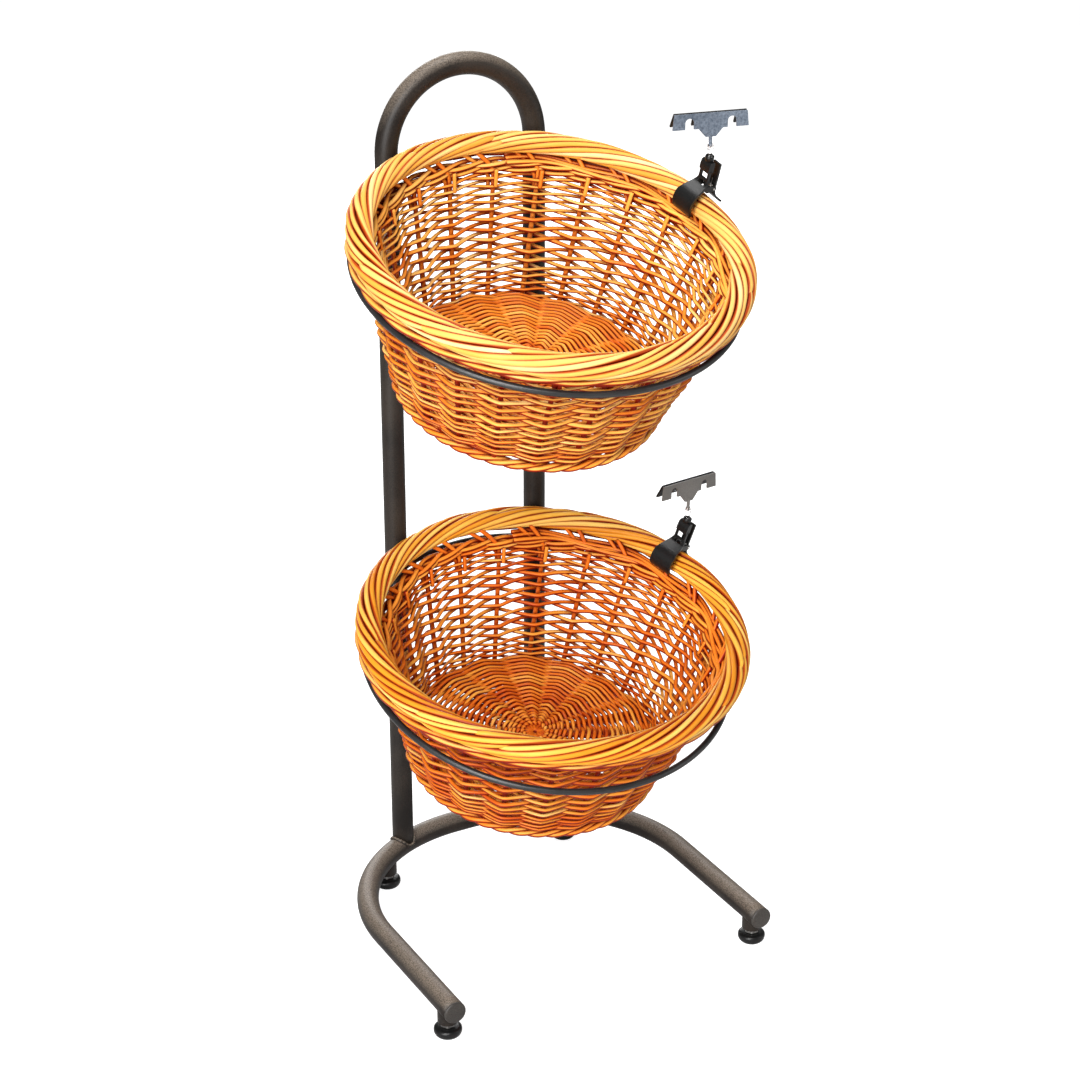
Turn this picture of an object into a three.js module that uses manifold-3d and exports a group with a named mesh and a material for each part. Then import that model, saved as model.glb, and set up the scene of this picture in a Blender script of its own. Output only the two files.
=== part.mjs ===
// Two-tier basket stand: a bent tube frame, two tilted wire hoops, two round willow baskets
// that lift out of the hoops, and a sprung sign clip on each basket's border.
// Millimetres, +Z up, the front faces -Y. The origin is on the floor, under the middle of the
// whole stand's outer box.
import * as THREE from "three";
import { mergeVertices } from "three/addons/utils/BufferGeometryUtils.js";
import Module from "manifold-3d";

// Driving dimensions of the frame
const TUBE_R = 11.1;
const TUBE_WALL = 1.6;
const POST_X = 79.3;
const ARCH_SPRING_Z = 782;
const BASE_Z = 33.6;
const ARM_X = 173;
const BASE_BEND_R = 163.6;
const ARM_END_Y = -304;
const GAP = 0.3;

// Driving dimensions of the feet
const FOOT_FRONT_Y = -289;
const FOOT_REAR_X = 106;
const SOCKET_R = 10;
const SOCKET_BOTTOM_Z = 14.4;
const STUD_R = 4;
const NUT_ACROSS_FLATS = 13;
const NUT_HEIGHT = 3.6;
const PAD_R = 13.8;
const PAD_BOTTOM_R = 11;
const PAD_HEIGHT = 10;

// Driving dimensions of the hoops and baskets
const TILT = THREE.MathUtils.degToRad(18.5);
const ROD_R = 3.2;
const HOOP_R = 181;
const RIM_ABOVE_HOOP = 27.5;
const BORDER_HALF_WIDTH = 13.1;
const BORDER_HALF_HEIGHT = 10.7;
const BORDER_LEAN = THREE.MathUtils.degToRad(-14.3);
const WALL_TOP_R = 170;
const WALL_BOTTOM_R = 129;
const WALL_THICKNESS = 6;
const WALL_TOP_DEPTH = 13.2;
const BASKET_DEPTH = 155;
const WALE_R = 180.4;
const STAKES = 22;
const ROWS = 11;
const FIRST_ROW_DEPTH = 36;
const ROW_PITCH = 9.2;
const LOWEST_ROW_DEPTH = 144;
const RIDGE_OUTSIDE = 2.6;
const GROOVE_OUTSIDE = 1.2;
const RIDGE_INSIDE = 7.2;
const GROOVE_INSIDE = 4.9;
const WALE_CLEARANCE = 0.9;
const FOOT_DRAW_IN = 1;
const FLOOR_THICKNESS = 8;
const FLOOR_RISE = 5;
const FLOOR_SEAT_R = 124.6;
const FLOOR_SEAT_HEIGHT = 10;
const TIERS = [
  { name: "upper", hoopZ: 702, rimR: 176, aside: 0, clipAngle: 9.5, lean: 2, turn: -12, roll: 0 },
  { name: "lower", hoopZ: 310, rimR: 178, aside: 4.5, clipAngle: 20, lean: 12, turn: 13, roll: -3 },
];

// Driving dimensions of the sign clips
const CLIP_WIDTH = 17;
const HEAD_WIDTH = 13;
const JAW_WIDTH = 25;
const JAW_TOP = 16;
const SHOULDER_UP = 25;
const NECK_UP = 30.5;
const ARM_THICKNESS = 3;
const WINDOW_WIDTH = 9;
const HEAD_BOTTOM = 39;
const HEAD_TOP = 50;
const HEAD_DEPTH = 6.5;
const PIVOT = { out: 7, up: 21 };
const PIN_R = 1.3;
const LUG_R = 2.7;
const LUG_WIDTH = 2;
const OUTER_ARM_WIDTH = 10;
const OUTER_ARM_THICKNESS = 2.2;
const OUTER_HANDLE_OUT = 11.6;
const OUTER_HANDLE_TOP = 45;
const BALL_R = 3;
const CUP_R = 4.4;
const CUP_RIM = 0.9;
const LINK_LENGTH = 11;
const STEM_R = 1.7;
const STEM_BALL_R = 2.3;
const GRIPPER_WIDTH = 75;
const GRIPPER_HEIGHT = 14.5;
const LEAF_THICKNESS = 1.8;
const YOKE_BOTTOM = 8;
const BAR_BOTTOM = 16;
const BACK_LEAF_SLOPE = THREE.MathUtils.degToRad(26);

// Rounds are drawn with these numbers of sides
const TUBE_SIDES = 16;
const BEND_STEPS = 10;
const RING_STEPS = 40;
const ROD_SIDES = 8;

const wasm = await Module();
wasm.setup();

// Finishes
function finish(color, roughness, metalness) {
  return new THREE.MeshStandardMaterial({ color, roughness, metalness });
}
const powderCoat = () => finish(0x4a433d, 0.62, 0.35);
const blackPlastic = () => finish(0x1b1a1a, 0.45, 0);
const zinc = () => finish(0xb9b6b0, 0.35, 0.9);
const willow = () => finish(0xd08a35, 0.6, 0);
const paleWillow = () => finish(0xe0a850, 0.55, 0);
const springSteel = () => finish(0x8d8d90, 0.3, 0.95);
const clearPlastic = () => finish(0xf1eeec, 0.08, 0);

// Solids for cutting and joining
function solidOf(geometry) {
  const bare = geometry.index ? geometry.toNonIndexed() : geometry.clone();
  bare.deleteAttribute("normal");
  bare.deleteAttribute("uv");
  const merged = mergeVertices(bare, 1e-4);
  return new wasm.Manifold(
    new wasm.Mesh({
      numProp: 3,
      vertProperties: merged.attributes.position.array,
      triVerts: new Uint32Array(merged.index.array),
    }),
  );
}

function geometryOf(solid) {
  const mesh = solid.getMesh();
  const geometry = new THREE.BufferGeometry();
  geometry.setAttribute("position", new THREE.BufferAttribute(mesh.vertProperties, 3));
  geometry.setIndex(new THREE.BufferAttribute(mesh.triVerts, 1));
  geometry.computeVertexNormals();
  return geometry;
}

function joined(base, additions, cuts) {
  let solid = solidOf(base);
  for (const addition of additions) solid = solid.add(solidOf(addition));
  for (const cut of cuts) solid = solid.subtract(solidOf(cut));
  return geometryOf(solid);
}

function piece(parent, name, geometry, material) {
  const mesh = new THREE.Mesh(geometry, material);
  mesh.name = name;
  parent.add(mesh);
  return mesh;
}

// A path whose rings fall only on the points given, each with its own direction
class Route extends THREE.Curve {
  constructor(stations) {
    super();
    this.stations = stations;
  }
  getUtoTmapping(u) {
    return u;
  }
  along(t, key) {
    const place = THREE.MathUtils.clamp(t, 0, 1) * (this.stations.length - 1);
    const first = Math.min(Math.floor(place), this.stations.length - 2);
    return this.stations[first][key].clone().lerp(this.stations[first + 1][key], place - first);
  }
  getPoint(t) {
    return this.along(t, "point");
  }
  getTangent(t) {
    return this.along(t, "direction").normalize();
  }
}

function station(x, y, z, dx, dy, dz) {
  return { point: new THREE.Vector3(x, y, z), direction: new THREE.Vector3(dx, dy, dz) };
}

function swept(section, stations) {
  return new THREE.ExtrudeGeometry(section, {
    steps: stations.length - 1,
    bevelEnabled: false,
    extrudePath: new Route(stations),
  });
}

function roundSection(radius, sides) {
  const points = [];
  for (let i = 0; i < sides; i += 1) {
    const angle = (2 * Math.PI * i) / sides;
    points.push(new THREE.Vector2(radius * Math.cos(angle), radius * Math.sin(angle)));
  }
  return points;
}

function tubeSection() {
  const section = new THREE.Shape(roundSection(TUBE_R, TUBE_SIDES));
  section.holes.push(new THREE.Path(roundSection(TUBE_R - TUBE_WALL, TUBE_SIDES).reverse()));
  return section;
}

// A turned solid about +Z from [radius, height] pairs, listed upwards on the outside
function turned(pairs, sides) {
  const profile = pairs.map(([radius, height]) => new THREE.Vector2(radius, height));
  return new THREE.LatheGeometry(profile, sides).rotateX(Math.PI / 2);
}

function turnedRing(pairs, sides) {
  return turned([...pairs, pairs[0]], sides);
}

function cylinderAlongY(radius, from, to, out, up, sides) {
  const geometry = new THREE.CylinderGeometry(radius, radius, to - from, sides);
  return geometry.translate(out, (from + to) / 2, up);
}

function block(x0, x1, y0, y1, z0, z1) {
  const geometry = new THREE.BoxGeometry(x1 - x0, y1 - y0, z1 - z0);
  return geometry.translate((x0 + x1) / 2, (y0 + y1) / 2, (z0 + z1) / 2);
}

// The base tube: two arms, two wide bends and a short straight behind
const BEND_CENTRE_X = ARM_X - BASE_BEND_R;
const POST_FROM_BEND_CENTRE = Math.sqrt(BASE_BEND_R ** 2 - (POST_X - BEND_CENTRE_X) ** 2);
const BEND_CENTRE_Y = -POST_FROM_BEND_CENTRE;

function baseStations() {
  const stations = [station(-ARM_X, ARM_END_Y, BASE_Z, 0, 1, 0)];
  for (const side of [-1, 1]) {
    for (let i = 0; i <= BEND_STEPS; i += 1) {
      const share = side < 0 ? i / BEND_STEPS : 1 - i / BEND_STEPS;
      const angle = (share * Math.PI) / 2;
      const x = side * (BEND_CENTRE_X + BASE_BEND_R * Math.cos(angle));
      const y = BEND_CENTRE_Y + BASE_BEND_R * Math.sin(angle);
      stations.push(station(x, y, BASE_Z, Math.sin(angle), -side * Math.cos(angle), 0));
    }
  }
  stations.push(station(ARM_X, ARM_END_Y, BASE_Z, 0, -1, 0));
  return stations;
}

// The posts and arch: one tube, its feet coped to sit on the base tube
function archStations() {
  const foot = BASE_Z + TUBE_R / 3;
  const stations = [station(-POST_X, 0, foot, 0, 0, 1)];
  const steps = 2 * BEND_STEPS;
  for (let i = 0; i <= steps; i += 1) {
    const angle = Math.PI - (i / steps) * Math.PI;
    const x = POST_X * Math.cos(angle);
    const z = ARCH_SPRING_Z + POST_X * Math.sin(angle);
    stations.push(station(x, 0, z, Math.sin(angle), 0, -Math.cos(angle)));
  }
  stations.push(station(POST_X, 0, foot, 0, 0, -1));
  return stations;
}

function frameTubes(parent) {
  const around = new THREE.Shape(roundSection(TUBE_R + GAP, TUBE_SIDES));
  const cope = swept(around, baseStations());
  const arch = joined(swept(tubeSection(), archStations()), [], [cope]);
  piece(parent, "arch_tube", arch, powderCoat());
  piece(parent, "base_tube", swept(tubeSection(), baseStations()), powderCoat());
}

// Plugs pressed into the open ends of the base tube
function endPlug(parent, side, sideName) {
  const bore = TUBE_R - TUBE_WALL - GAP;
  const shape = [
    [0, -12],
    [bore - 0.8, -12],
    [bore, -10],
    [bore, GAP],
    [TUBE_R, GAP],
    [TUBE_R, 1.6],
    [TUBE_R - 1.4, 2.8],
    [0, 3.2],
  ];
  const plug = piece(parent, `${sideName}_end_plug`, turned(shape, TUBE_SIDES), blackPlastic());
  plug.rotation.x = Math.PI / 2;
  plug.position.set(side * ARM_X, ARM_END_Y, BASE_Z);
}

// Levelling feet: a welded socket, a threaded stud, its lock nut and a moulded pad
function foot(parent, name, x, y) {
  const place = new THREE.Group();
  place.position.set(x, y, 0);
  parent.add(place);
  const bore = STUD_R + GAP;
  const cope = swept(new THREE.Shape(roundSection(TUBE_R + GAP, TUBE_SIDES)), baseStations());
  cope.translate(-x, -y, 0);
  const collar = turnedRing(
    [
      [SOCKET_R, SOCKET_BOTTOM_Z],
      [SOCKET_R, BASE_Z - TUBE_R / 3],
      [bore, BASE_Z - TUBE_R / 3],
      [bore, SOCKET_BOTTOM_Z],
    ],
    TUBE_SIDES,
  );
  piece(place, `${name}_foot_socket`, joined(collar, [], [cope]), powderCoat());
  const nutTop = SOCKET_BOTTOM_Z - GAP;
  const nutBottom = nutTop - NUT_HEIGHT;
  const hexagon = new THREE.Shape(roundSection(NUT_ACROSS_FLATS / Math.sqrt(3), 6));
  hexagon.holes.push(new THREE.Path(roundSection(bore, 12).reverse()));
  const nut = new THREE.ExtrudeGeometry(hexagon, { depth: NUT_HEIGHT, bevelEnabled: false });
  piece(place, `${name}_foot_nut`, nut.translate(0, 0, nutBottom), zinc());
  const studTop = BASE_Z - TUBE_R - GAP;
  const studBottom = PAD_HEIGHT / 2 + GAP;
  const stud = turned([[0, studBottom], [STUD_R, studBottom], [STUD_R, studTop], [0, studTop]], 12);
  piece(place, `${name}_foot_stud`, stud, zinc());
  const pad = [
    [0, 0],
    [PAD_BOTTOM_R, 0],
    [PAD_R - 0.6, 3.2],
    [PAD_R, 4.6],
    [PAD_R, PAD_HEIGHT - 2.2],
    [PAD_R - 1.8, PAD_HEIGHT - 0.6],
    [bore + 1, PAD_HEIGHT - 0.2],
    [bore, PAD_HEIGHT - 0.2],
    [bore, PAD_HEIGHT / 2],
    [0, PAD_HEIGHT / 2],
  ];
  piece(place, `${name}_foot_pad`, turned(pad, 20), blackPlastic());
}

// The leaning oval section of a basket's border, at one angle round it
function borderPoint(angle) {
  const x = BORDER_HALF_WIDTH * Math.cos(angle);
  const z = BORDER_HALF_HEIGHT * Math.sin(angle);
  const out = x * Math.cos(BORDER_LEAN) - z * Math.sin(BORDER_LEAN);
  const up = x * Math.sin(BORDER_LEAN) + z * Math.cos(BORDER_LEAN);
  return [out, up];
}

function border(rimR) {
  const sides = 12;
  const pairs = [];
  for (let i = 0; i < sides; i += 1) {
    const [out, up] = borderPoint((2 * Math.PI * i) / sides);
    pairs.push([rimR + out, up]);
  }
  return turnedRing(pairs, RING_STEPS);
}

// The sloping side wall, measured down from the border's middle
function wallRadius(depth) {
  const share = (depth - WALL_TOP_DEPTH) / (BASKET_DEPTH - WALL_TOP_DEPTH);
  return WALL_TOP_R + (WALL_BOTTOM_R - WALL_TOP_R) * share;
}

// Rows of weave stand out between the stakes, outside and inside; each row is a ridge, with a
// groove above and below it. The outside has its corners on the stakes, the inside between them.
function wall() {
  const outside = [
    [WALL_BOTTOM_R - FOOT_DRAW_IN, -BASKET_DEPTH],
    [wallRadius(LOWEST_ROW_DEPTH), -LOWEST_ROW_DEPTH],
  ];
  const inside = [
    [FLOOR_SEAT_R, -BASKET_DEPTH],
    [FLOOR_SEAT_R, -BASKET_DEPTH + FLOOR_SEAT_HEIGHT],
  ];
  for (let row = ROWS - 1; row >= 0; row -= 1) {
    const ridge = FIRST_ROW_DEPTH + ROW_PITCH * row;
    const groove = ridge + ROW_PITCH / 2;
    outside.push([wallRadius(groove) - GROOVE_OUTSIDE, -groove]);
    outside.push([wallRadius(ridge) + RIDGE_OUTSIDE, -ridge]);
    inside.push([wallRadius(groove) - GROOVE_INSIDE, -groove]);
    inside.push([wallRadius(ridge) - RIDGE_INSIDE, -ridge]);
  }
  const above = FIRST_ROW_DEPTH - ROW_PITCH;
  outside.push([wallRadius(above) - WALE_CLEARANCE, -above]);
  outside.push([WALL_TOP_R - WALE_CLEARANCE, -WALL_TOP_DEPTH]);
  inside.push([WALL_TOP_R - GROOVE_INSIDE, -WALL_TOP_DEPTH]);
  const rows = outside.map(([radius, height]) => [radius, height, 0]);
  for (const [radius, height] of inside.reverse()) {
    rows.push([radius, height, 1 / 2]);
  }
  return cornered(rows);
}

// A closed ring from [radius, height, corner shift] rows, with one corner a stake
function cornered(rows) {
  const points = [];
  const triangles = [];
  for (const [radius, height, shift] of rows) {
    for (let k = 0; k < STAKES; k += 1) {
      const angle = (2 * Math.PI * (k + shift)) / STAKES;
      points.push(radius * Math.cos(angle), radius * Math.sin(angle), height);
    }
  }
  for (let i = 0; i < rows.length; i += 1) {
    const next = (i + 1) % rows.length;
    for (let k = 0; k < STAKES; k += 1) {
      const beside = (k + 1) % STAKES;
      const here = [i * STAKES + k, i * STAKES + beside];
      const there = [next * STAKES + k, next * STAKES + beside];
      triangles.push(here[0], here[1], there[1], here[0], there[1], there[0]);
    }
  }
  const geometry = new THREE.BufferGeometry();
  geometry.setAttribute("position", new THREE.Float32BufferAttribute(points, 3));
  geometry.setIndex(triangles);
  return geometry;
}

// The thick band of wale under the border, which sits on the hoop
function wale() {
  const bottom = RIM_ABOVE_HOOP - ROD_R - GAP;
  const pairs = [
    [wallRadius(bottom) + GAP + 3, -bottom],
    [WALE_R, -bottom],
    [WALE_R, -bottom + 6],
    [WALL_TOP_R + 6, -WALL_TOP_DEPTH - 1],
    [wallRadius(WALL_TOP_DEPTH) + GAP, -WALL_TOP_DEPTH - 1],
    [wallRadius(bottom - 4) + GAP + 1, -bottom + 4],
  ];
  return turnedRing(pairs, RING_STEPS);
}

function basketFloor() {
  const edge = WALL_BOTTOM_R - WALL_THICKNESS - GAP;
  const bottom = -BASKET_DEPTH + 1;
  const top = bottom + FLOOR_THICKNESS;
  const shape = [
    [0, bottom + FLOOR_RISE],
    [edge / 2, bottom + FLOOR_RISE * 0.75],
    [edge, bottom],
    [edge, top],
    [edge / 2, top + FLOOR_RISE * 0.75],
    [0, top + FLOOR_RISE],
  ];
  return turned(shape, RING_STEPS);
}

// A strip of even thickness along a line of [out, up] points
function strip(line, thickness) {
  const points = line.map(([out, up]) => new THREE.Vector2(out, up));
  const left = [];
  const right = [];
  for (let i = 0; i < points.length; i += 1) {
    const before = points[Math.max(i - 1, 0)];
    const after = points[Math.min(i + 1, points.length - 1)];
    const ahead = after.clone().sub(before).normalize();
    const side = new THREE.Vector2(-ahead.y, ahead.x).multiplyScalar(thickness / 2);
    left.push(points[i].clone().add(side));
    right.unshift(points[i].clone().sub(side));
  }
  return new THREE.Shape([...left, ...right]);
}

// A flat outline in the out-up plane, thickened along the border's direction
function acrossClip(shape, from, to) {
  const geometry = new THREE.ExtrudeGeometry(shape, { depth: to - from, bevelEnabled: false });
  return geometry.rotateX(Math.PI / 2).translate(0, to, 0);
}

// A cup with a round seat for a ball whose centre is at the origin
function cup(ballR, outerR, floorZ, rimZ) {
  const seat = ballR + GAP;
  const pairs = [
    [0, floorZ],
    [outerR, floorZ],
    [outerR, rimZ],
  ];
  const steps = 4;
  const rimAngle = Math.asin(rimZ / seat);
  for (let i = 0; i <= steps; i += 1) {
    const angle = rimAngle - ((rimAngle + Math.PI / 2) * i) / steps;
    pairs.push([i === steps ? 0 : seat * Math.cos(angle), seat * Math.sin(angle)]);
  }
  return turned(pairs, 12);
}

function ballPairs(radius, from, to, steps) {
  const pairs = [];
  for (let i = 0; i <= steps; i += 1) {
    const angle = from + ((to - from) * i) / steps;
    const onAxis = Math.abs(Math.cos(angle)) < 1e-6;
    pairs.push([onAxis ? 0 : radius * Math.cos(angle), radius * Math.sin(angle)]);
  }
  return pairs;
}

// A torsion spring about Y with one leg up on each side of its coil
function torsionSpring(label, wireR, coilR, curls, pitch, legLength, legSpread) {
  const stepsPerCurl = 8;
  const start = Math.PI;
  const end = start + 2 * Math.PI * curls;
  const steps = Math.round(stepsPerCurl * curls);
  const stations = [];
  const spread = Math.atan2(legSpread, legLength);
  stations.push(station(-coilR - legSpread, 0, legLength, Math.sin(spread), 0, -Math.cos(spread)));
  for (let i = 0; i <= steps; i += 1) {
    const angle = start + ((end - start) * i) / steps;
    const y = (pitch * (angle - start)) / (2 * Math.PI);
    const climb = pitch / (2 * Math.PI * coilR);
    const x = coilR * Math.cos(angle);
    const z = coilR * Math.sin(angle);
    stations.push(station(x, y, z, -Math.sin(angle), climb, Math.cos(angle)));
  }
  stations.push(station(coilR, pitch * curls, legLength, 0, 0, 1));
  let least = Infinity;
  for (let i = 0; i < stations.length; i += 1) {
    for (let j = i + stepsPerCurl / 2; j < stations.length; j += 1) {
      least = Math.min(least, stations[i].point.distanceTo(stations[j].point));
    }
  }
  console.log(`${label}: least gap ${(least - 2 * wireR).toFixed(2)} mm`);
  const shape = new THREE.Shape(roundSection(wireR, 5));
  return swept(shape, stations).translate(0, (-pitch * curls) / 2, 0);
}

// The clamp's inner arm: handle with two windows, head with a ball cup, lugs and curved jaw
const INNER_JAW = [
  [-1.5, 28],
  [-4, 24.8],
  [-9.5, 22],
  [-15.8, 19],
  [-20.5, 14.5],
  [-22.3, 8.5],
  [-21.7, 2.8],
  [-19.5, -1],
];

function armWidth() {
  const half = CLIP_WIDTH / 2;
  const outline = new THREE.Shape();
  outline.moveTo(-JAW_WIDTH / 2, -20);
  outline.lineTo(JAW_WIDTH / 2, -20);
  outline.lineTo(JAW_WIDTH / 2, JAW_TOP);
  outline.lineTo(half, SHOULDER_UP);
  outline.lineTo(HEAD_WIDTH / 2, NECK_UP);
  outline.lineTo(HEAD_WIDTH / 2, 70);
  outline.lineTo(-HEAD_WIDTH / 2, 70);
  outline.lineTo(-HEAD_WIDTH / 2, NECK_UP);
  outline.lineTo(-half, SHOULDER_UP);
  outline.lineTo(-JAW_WIDTH / 2, JAW_TOP);
  const depth = 60;
  const geometry = new THREE.ExtrudeGeometry(outline, { depth, bevelEnabled: false });
  geometry.translate(0, 0, -depth / 2);
  const turn = new THREE.Matrix4().makeBasis(
    new THREE.Vector3(0, 1, 0),
    new THREE.Vector3(0, 0, 1),
    new THREE.Vector3(1, 0, 0),
  );
  return geometry.applyMatrix4(turn);
}

function innerArm() {
  const middle = -ARM_THICKNESS / 2;
  const line = [[middle, HEAD_BOTTOM + 2], ...INNER_JAW];
  const half = CLIP_WIDTH / 2;
  const reach = JAW_WIDTH / 2;
  const pane = WINDOW_WIDTH / 2;
  const arm = acrossClip(strip(line, ARM_THICKNESS), -reach, reach);
  const head = block(-HEAD_DEPTH + 2, 2, -reach, reach, HEAD_BOTTOM, HEAD_TOP);
  const ballCup = cup(BALL_R, CUP_R, -BALL_R - 2, CUP_RIM);
  ballCup.translate(-1, 0, HEAD_TOP + BALL_R + 1);
  const tapered = geometryOf(solidOf(joined(arm, [head, ballCup], [])).intersect(solidOf(armWidth())));
  const additions = [];
  const cuts = [
    block(-10, 3, -pane, pane, 31, 38),
    block(-10, 3, -pane, pane, 24.5, 28.5),
  ];
  for (const y of [-half, half - LUG_WIDTH]) {
    additions.push(cylinderAlongY(LUG_R, y, y + LUG_WIDTH, PIVOT.out, PIVOT.up, 12));
    additions.push(block(-5, PIVOT.out, y, y + LUG_WIDTH, PIVOT.up - LUG_R, SHOULDER_UP));
  }
  cuts.push(cylinderAlongY(PIN_R + GAP, -half - 1, half + 1, PIVOT.out, PIVOT.up, 10));
  return joined(tapered, additions, cuts);
}

// The clamp's outer arm, drawn about its own pivot
function outerArm() {
  const line = [
    [OUTER_HANDLE_OUT, OUTER_HANDLE_TOP],
    [OUTER_HANDLE_OUT, PIVOT.up - 3],
    [OUTER_HANDLE_OUT + 0.6, 13],
    [16, 8],
    [24.6, 1.5],
  ];
  const half = OUTER_ARM_WIDTH / 2;
  const arm = acrossClip(strip(line, OUTER_ARM_THICKNESS), -half, half);
  const knuckle = cylinderAlongY(LUG_R, 0.6, half, PIVOT.out, PIVOT.up, 12);
  const web = block(PIVOT.out, OUTER_HANDLE_OUT, 0.6, half, PIVOT.up - 2, PIVOT.up + 2);
  const bore = cylinderAlongY(PIN_R + GAP, -half - 1, half + 1, PIVOT.out, PIVOT.up, 10);
  return joined(arm, [knuckle, web], [bore]).translate(-PIVOT.out, 0, -PIVOT.up);
}

// The clear swivel link: a ball below, a cup for the gripper's stem above
function swivelLink() {
  const neck = 2;
  const join = -Math.acos(neck / BALL_R);
  const seat = cup(STEM_BALL_R, CUP_R - 1, -STEM_BALL_R - 2, CUP_RIM).translate(0, 0, LINK_LENGTH);
  const ball = ballPairs(BALL_R, -Math.PI / 2, -join, 6);
  const body = turned([...ball, [neck, LINK_LENGTH - 4], [0, LINK_LENGTH - 4]], 12);
  return joined(body, [seat], []);
}

// The gripper's front leaf: a bar with two round notches, a tapered yoke and a stem with a ball
function leafOutline(withYoke) {
  const half = GRIPPER_WIDTH / 2;
  const top = BAR_BOTTOM + GRIPPER_HEIGHT;
  const notchX = 21;
  const notchR = 4.4;
  const notchTop = BAR_BOTTOM + 6;
  const outline = new THREE.Shape();
  outline.moveTo(-half, BAR_BOTTOM);
  for (const x of [-notchX, notchX]) {
    if (x > 0 && withYoke) {
      outline.lineTo(-12, BAR_BOTTOM);
      outline.lineTo(-5, YOKE_BOTTOM);
      outline.lineTo(5, YOKE_BOTTOM);
      outline.lineTo(12, BAR_BOTTOM);
    }
    outline.lineTo(x - notchR, BAR_BOTTOM);
    outline.lineTo(x - notchR, notchTop);
    outline.absarc(x, notchTop, notchR, Math.PI, 0, true);
    outline.lineTo(x + notchR, BAR_BOTTOM);
  }
  outline.lineTo(half, BAR_BOTTOM);
  outline.lineTo(half - 1.5, top);
  outline.lineTo(-half + 1.5, top);
  outline.closePath();
  return outline;
}

function leafPlate(withYoke) {
  const plate = new THREE.ExtrudeGeometry(leafOutline(withYoke), {
    depth: LEAF_THICKNESS,
    bevelEnabled: false,
    curveSegments: 6,
  });
  return plate.rotateX(Math.PI / 2).translate(0, LEAF_THICKNESS, 0);
}

const LEAF_PIN = { back: 3.3, up: BAR_BOTTOM + 5 };

function pinAlongX(radius, from, to, sides) {
  const geometry = new THREE.CylinderGeometry(radius, radius, to - from, sides);
  return geometry.rotateZ(Math.PI / 2).translate((from + to) / 2, LEAF_PIN.back, LEAF_PIN.up);
}

function frontLeaf() {
  const ball = ballPairs(STEM_BALL_R, -Math.PI / 2, Math.acos(STEM_R / STEM_BALL_R), 5);
  const stem = turned([...ball, [STEM_R, YOKE_BOTTOM + 3], [0, YOKE_BOTTOM + 3]], 10);
  const plate = leafPlate(true).translate(0, -LEAF_THICKNESS / 2, 0);
  const additions = [stem];
  for (const x of [-9, 7]) {
    const low = LEAF_PIN.up - 2;
    additions.push(pinAlongX(2, x, x + 2, 10));
    additions.push(block(x, x + 2, 0, LEAF_PIN.back, low, LEAF_PIN.up + 2));
  }
  return joined(plate, additions, [pinAlongX(1 + GAP, -12, 12, 10)]);
}

// The back leaf slopes away below so that its foot can be squeezed to open the top
function backLeaf() {
  const top = BAR_BOTTOM + GRIPPER_HEIGHT;
  const plate = leafPlate(false).translate(0, 0, -top);
  plate.rotateX(BACK_LEAF_SLOPE);
  plate.translate(0, LEAF_THICKNESS / 2 + GAP, top);
  const knuckle = pinAlongX(2, 1, 6.4, 10);
  const webBack = LEAF_PIN.back + 3;
  const web = block(1, 6.4, LEAF_PIN.back, webBack, LEAF_PIN.up - 1.4, LEAF_PIN.up + 1.4);
  const leaf = joined(plate, [knuckle, web], [pinAlongX(1 + GAP, -12, 12, 10)]);
  return leaf.translate(0, -LEAF_PIN.back, -LEAF_PIN.up);
}

// One sign clip: the clamp on the basket's border, and above it the link and gripper upright
function signClip(upright, basket, tier) {
  const clamp = new THREE.Group();
  const angle = THREE.MathUtils.degToRad(tier.clipAngle);
  clamp.rotation.order = "ZYX";
  clamp.rotation.set(0, THREE.MathUtils.degToRad(tier.lean), angle);
  clamp.position.set(tier.rimR * Math.cos(angle), tier.rimR * Math.sin(angle), 0);
  basket.add(clamp);
  const name = `${tier.name}_clip`;
  const half = CLIP_WIDTH / 2;
  piece(clamp, `${name}_inner_arm`, innerArm(), blackPlastic());
  const pin = cylinderAlongY(PIN_R, -half - 0.5, half + 0.5, PIVOT.out, PIVOT.up, 10);
  piece(clamp, `${name}_pivot_pin`, pin, zinc());
  const coil = torsionSpring(`${name} spring`, 0.45, 2.15, 2.5, 1.5, 8, 3.2);
  piece(clamp, `${name}_spring`, coil.translate(PIVOT.out, -2.6, PIVOT.up), springSteel());
  const arm = piece(clamp, `${name}_outer_arm`, outerArm(), blackPlastic());
  arm.position.set(PIVOT.out, 0, PIVOT.up);
  upright.parent.updateMatrixWorld(true);
  const ballCentre = clamp.localToWorld(new THREE.Vector3(-1, 0, HEAD_TOP + BALL_R + 1));
  const link = piece(upright, `${name}_swivel_link`, swivelLink(), clearPlastic());
  link.position.copy(upright.worldToLocal(ballCentre));
  const gripper = new THREE.Group();
  gripper.position.copy(link.position);
  gripper.position.z += LINK_LENGTH;
  gripper.rotation.order = "ZYX";
  gripper.rotation.z = THREE.MathUtils.degToRad(tier.turn);
  gripper.rotation.y = -THREE.MathUtils.degToRad(tier.roll);
  upright.add(gripper);
  piece(gripper, `${name}_gripper_front_leaf`, frontLeaf(), blackPlastic());
  piece(gripper, `${name}_gripper_hinge_pin`, pinAlongX(1, -9.5, 9.5, 8), zinc());
  const leaf = piece(gripper, `${name}_gripper_back_leaf`, backLeaf(), blackPlastic());
  leaf.position.set(0, LEAF_PIN.back, LEAF_PIN.up);
}

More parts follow.
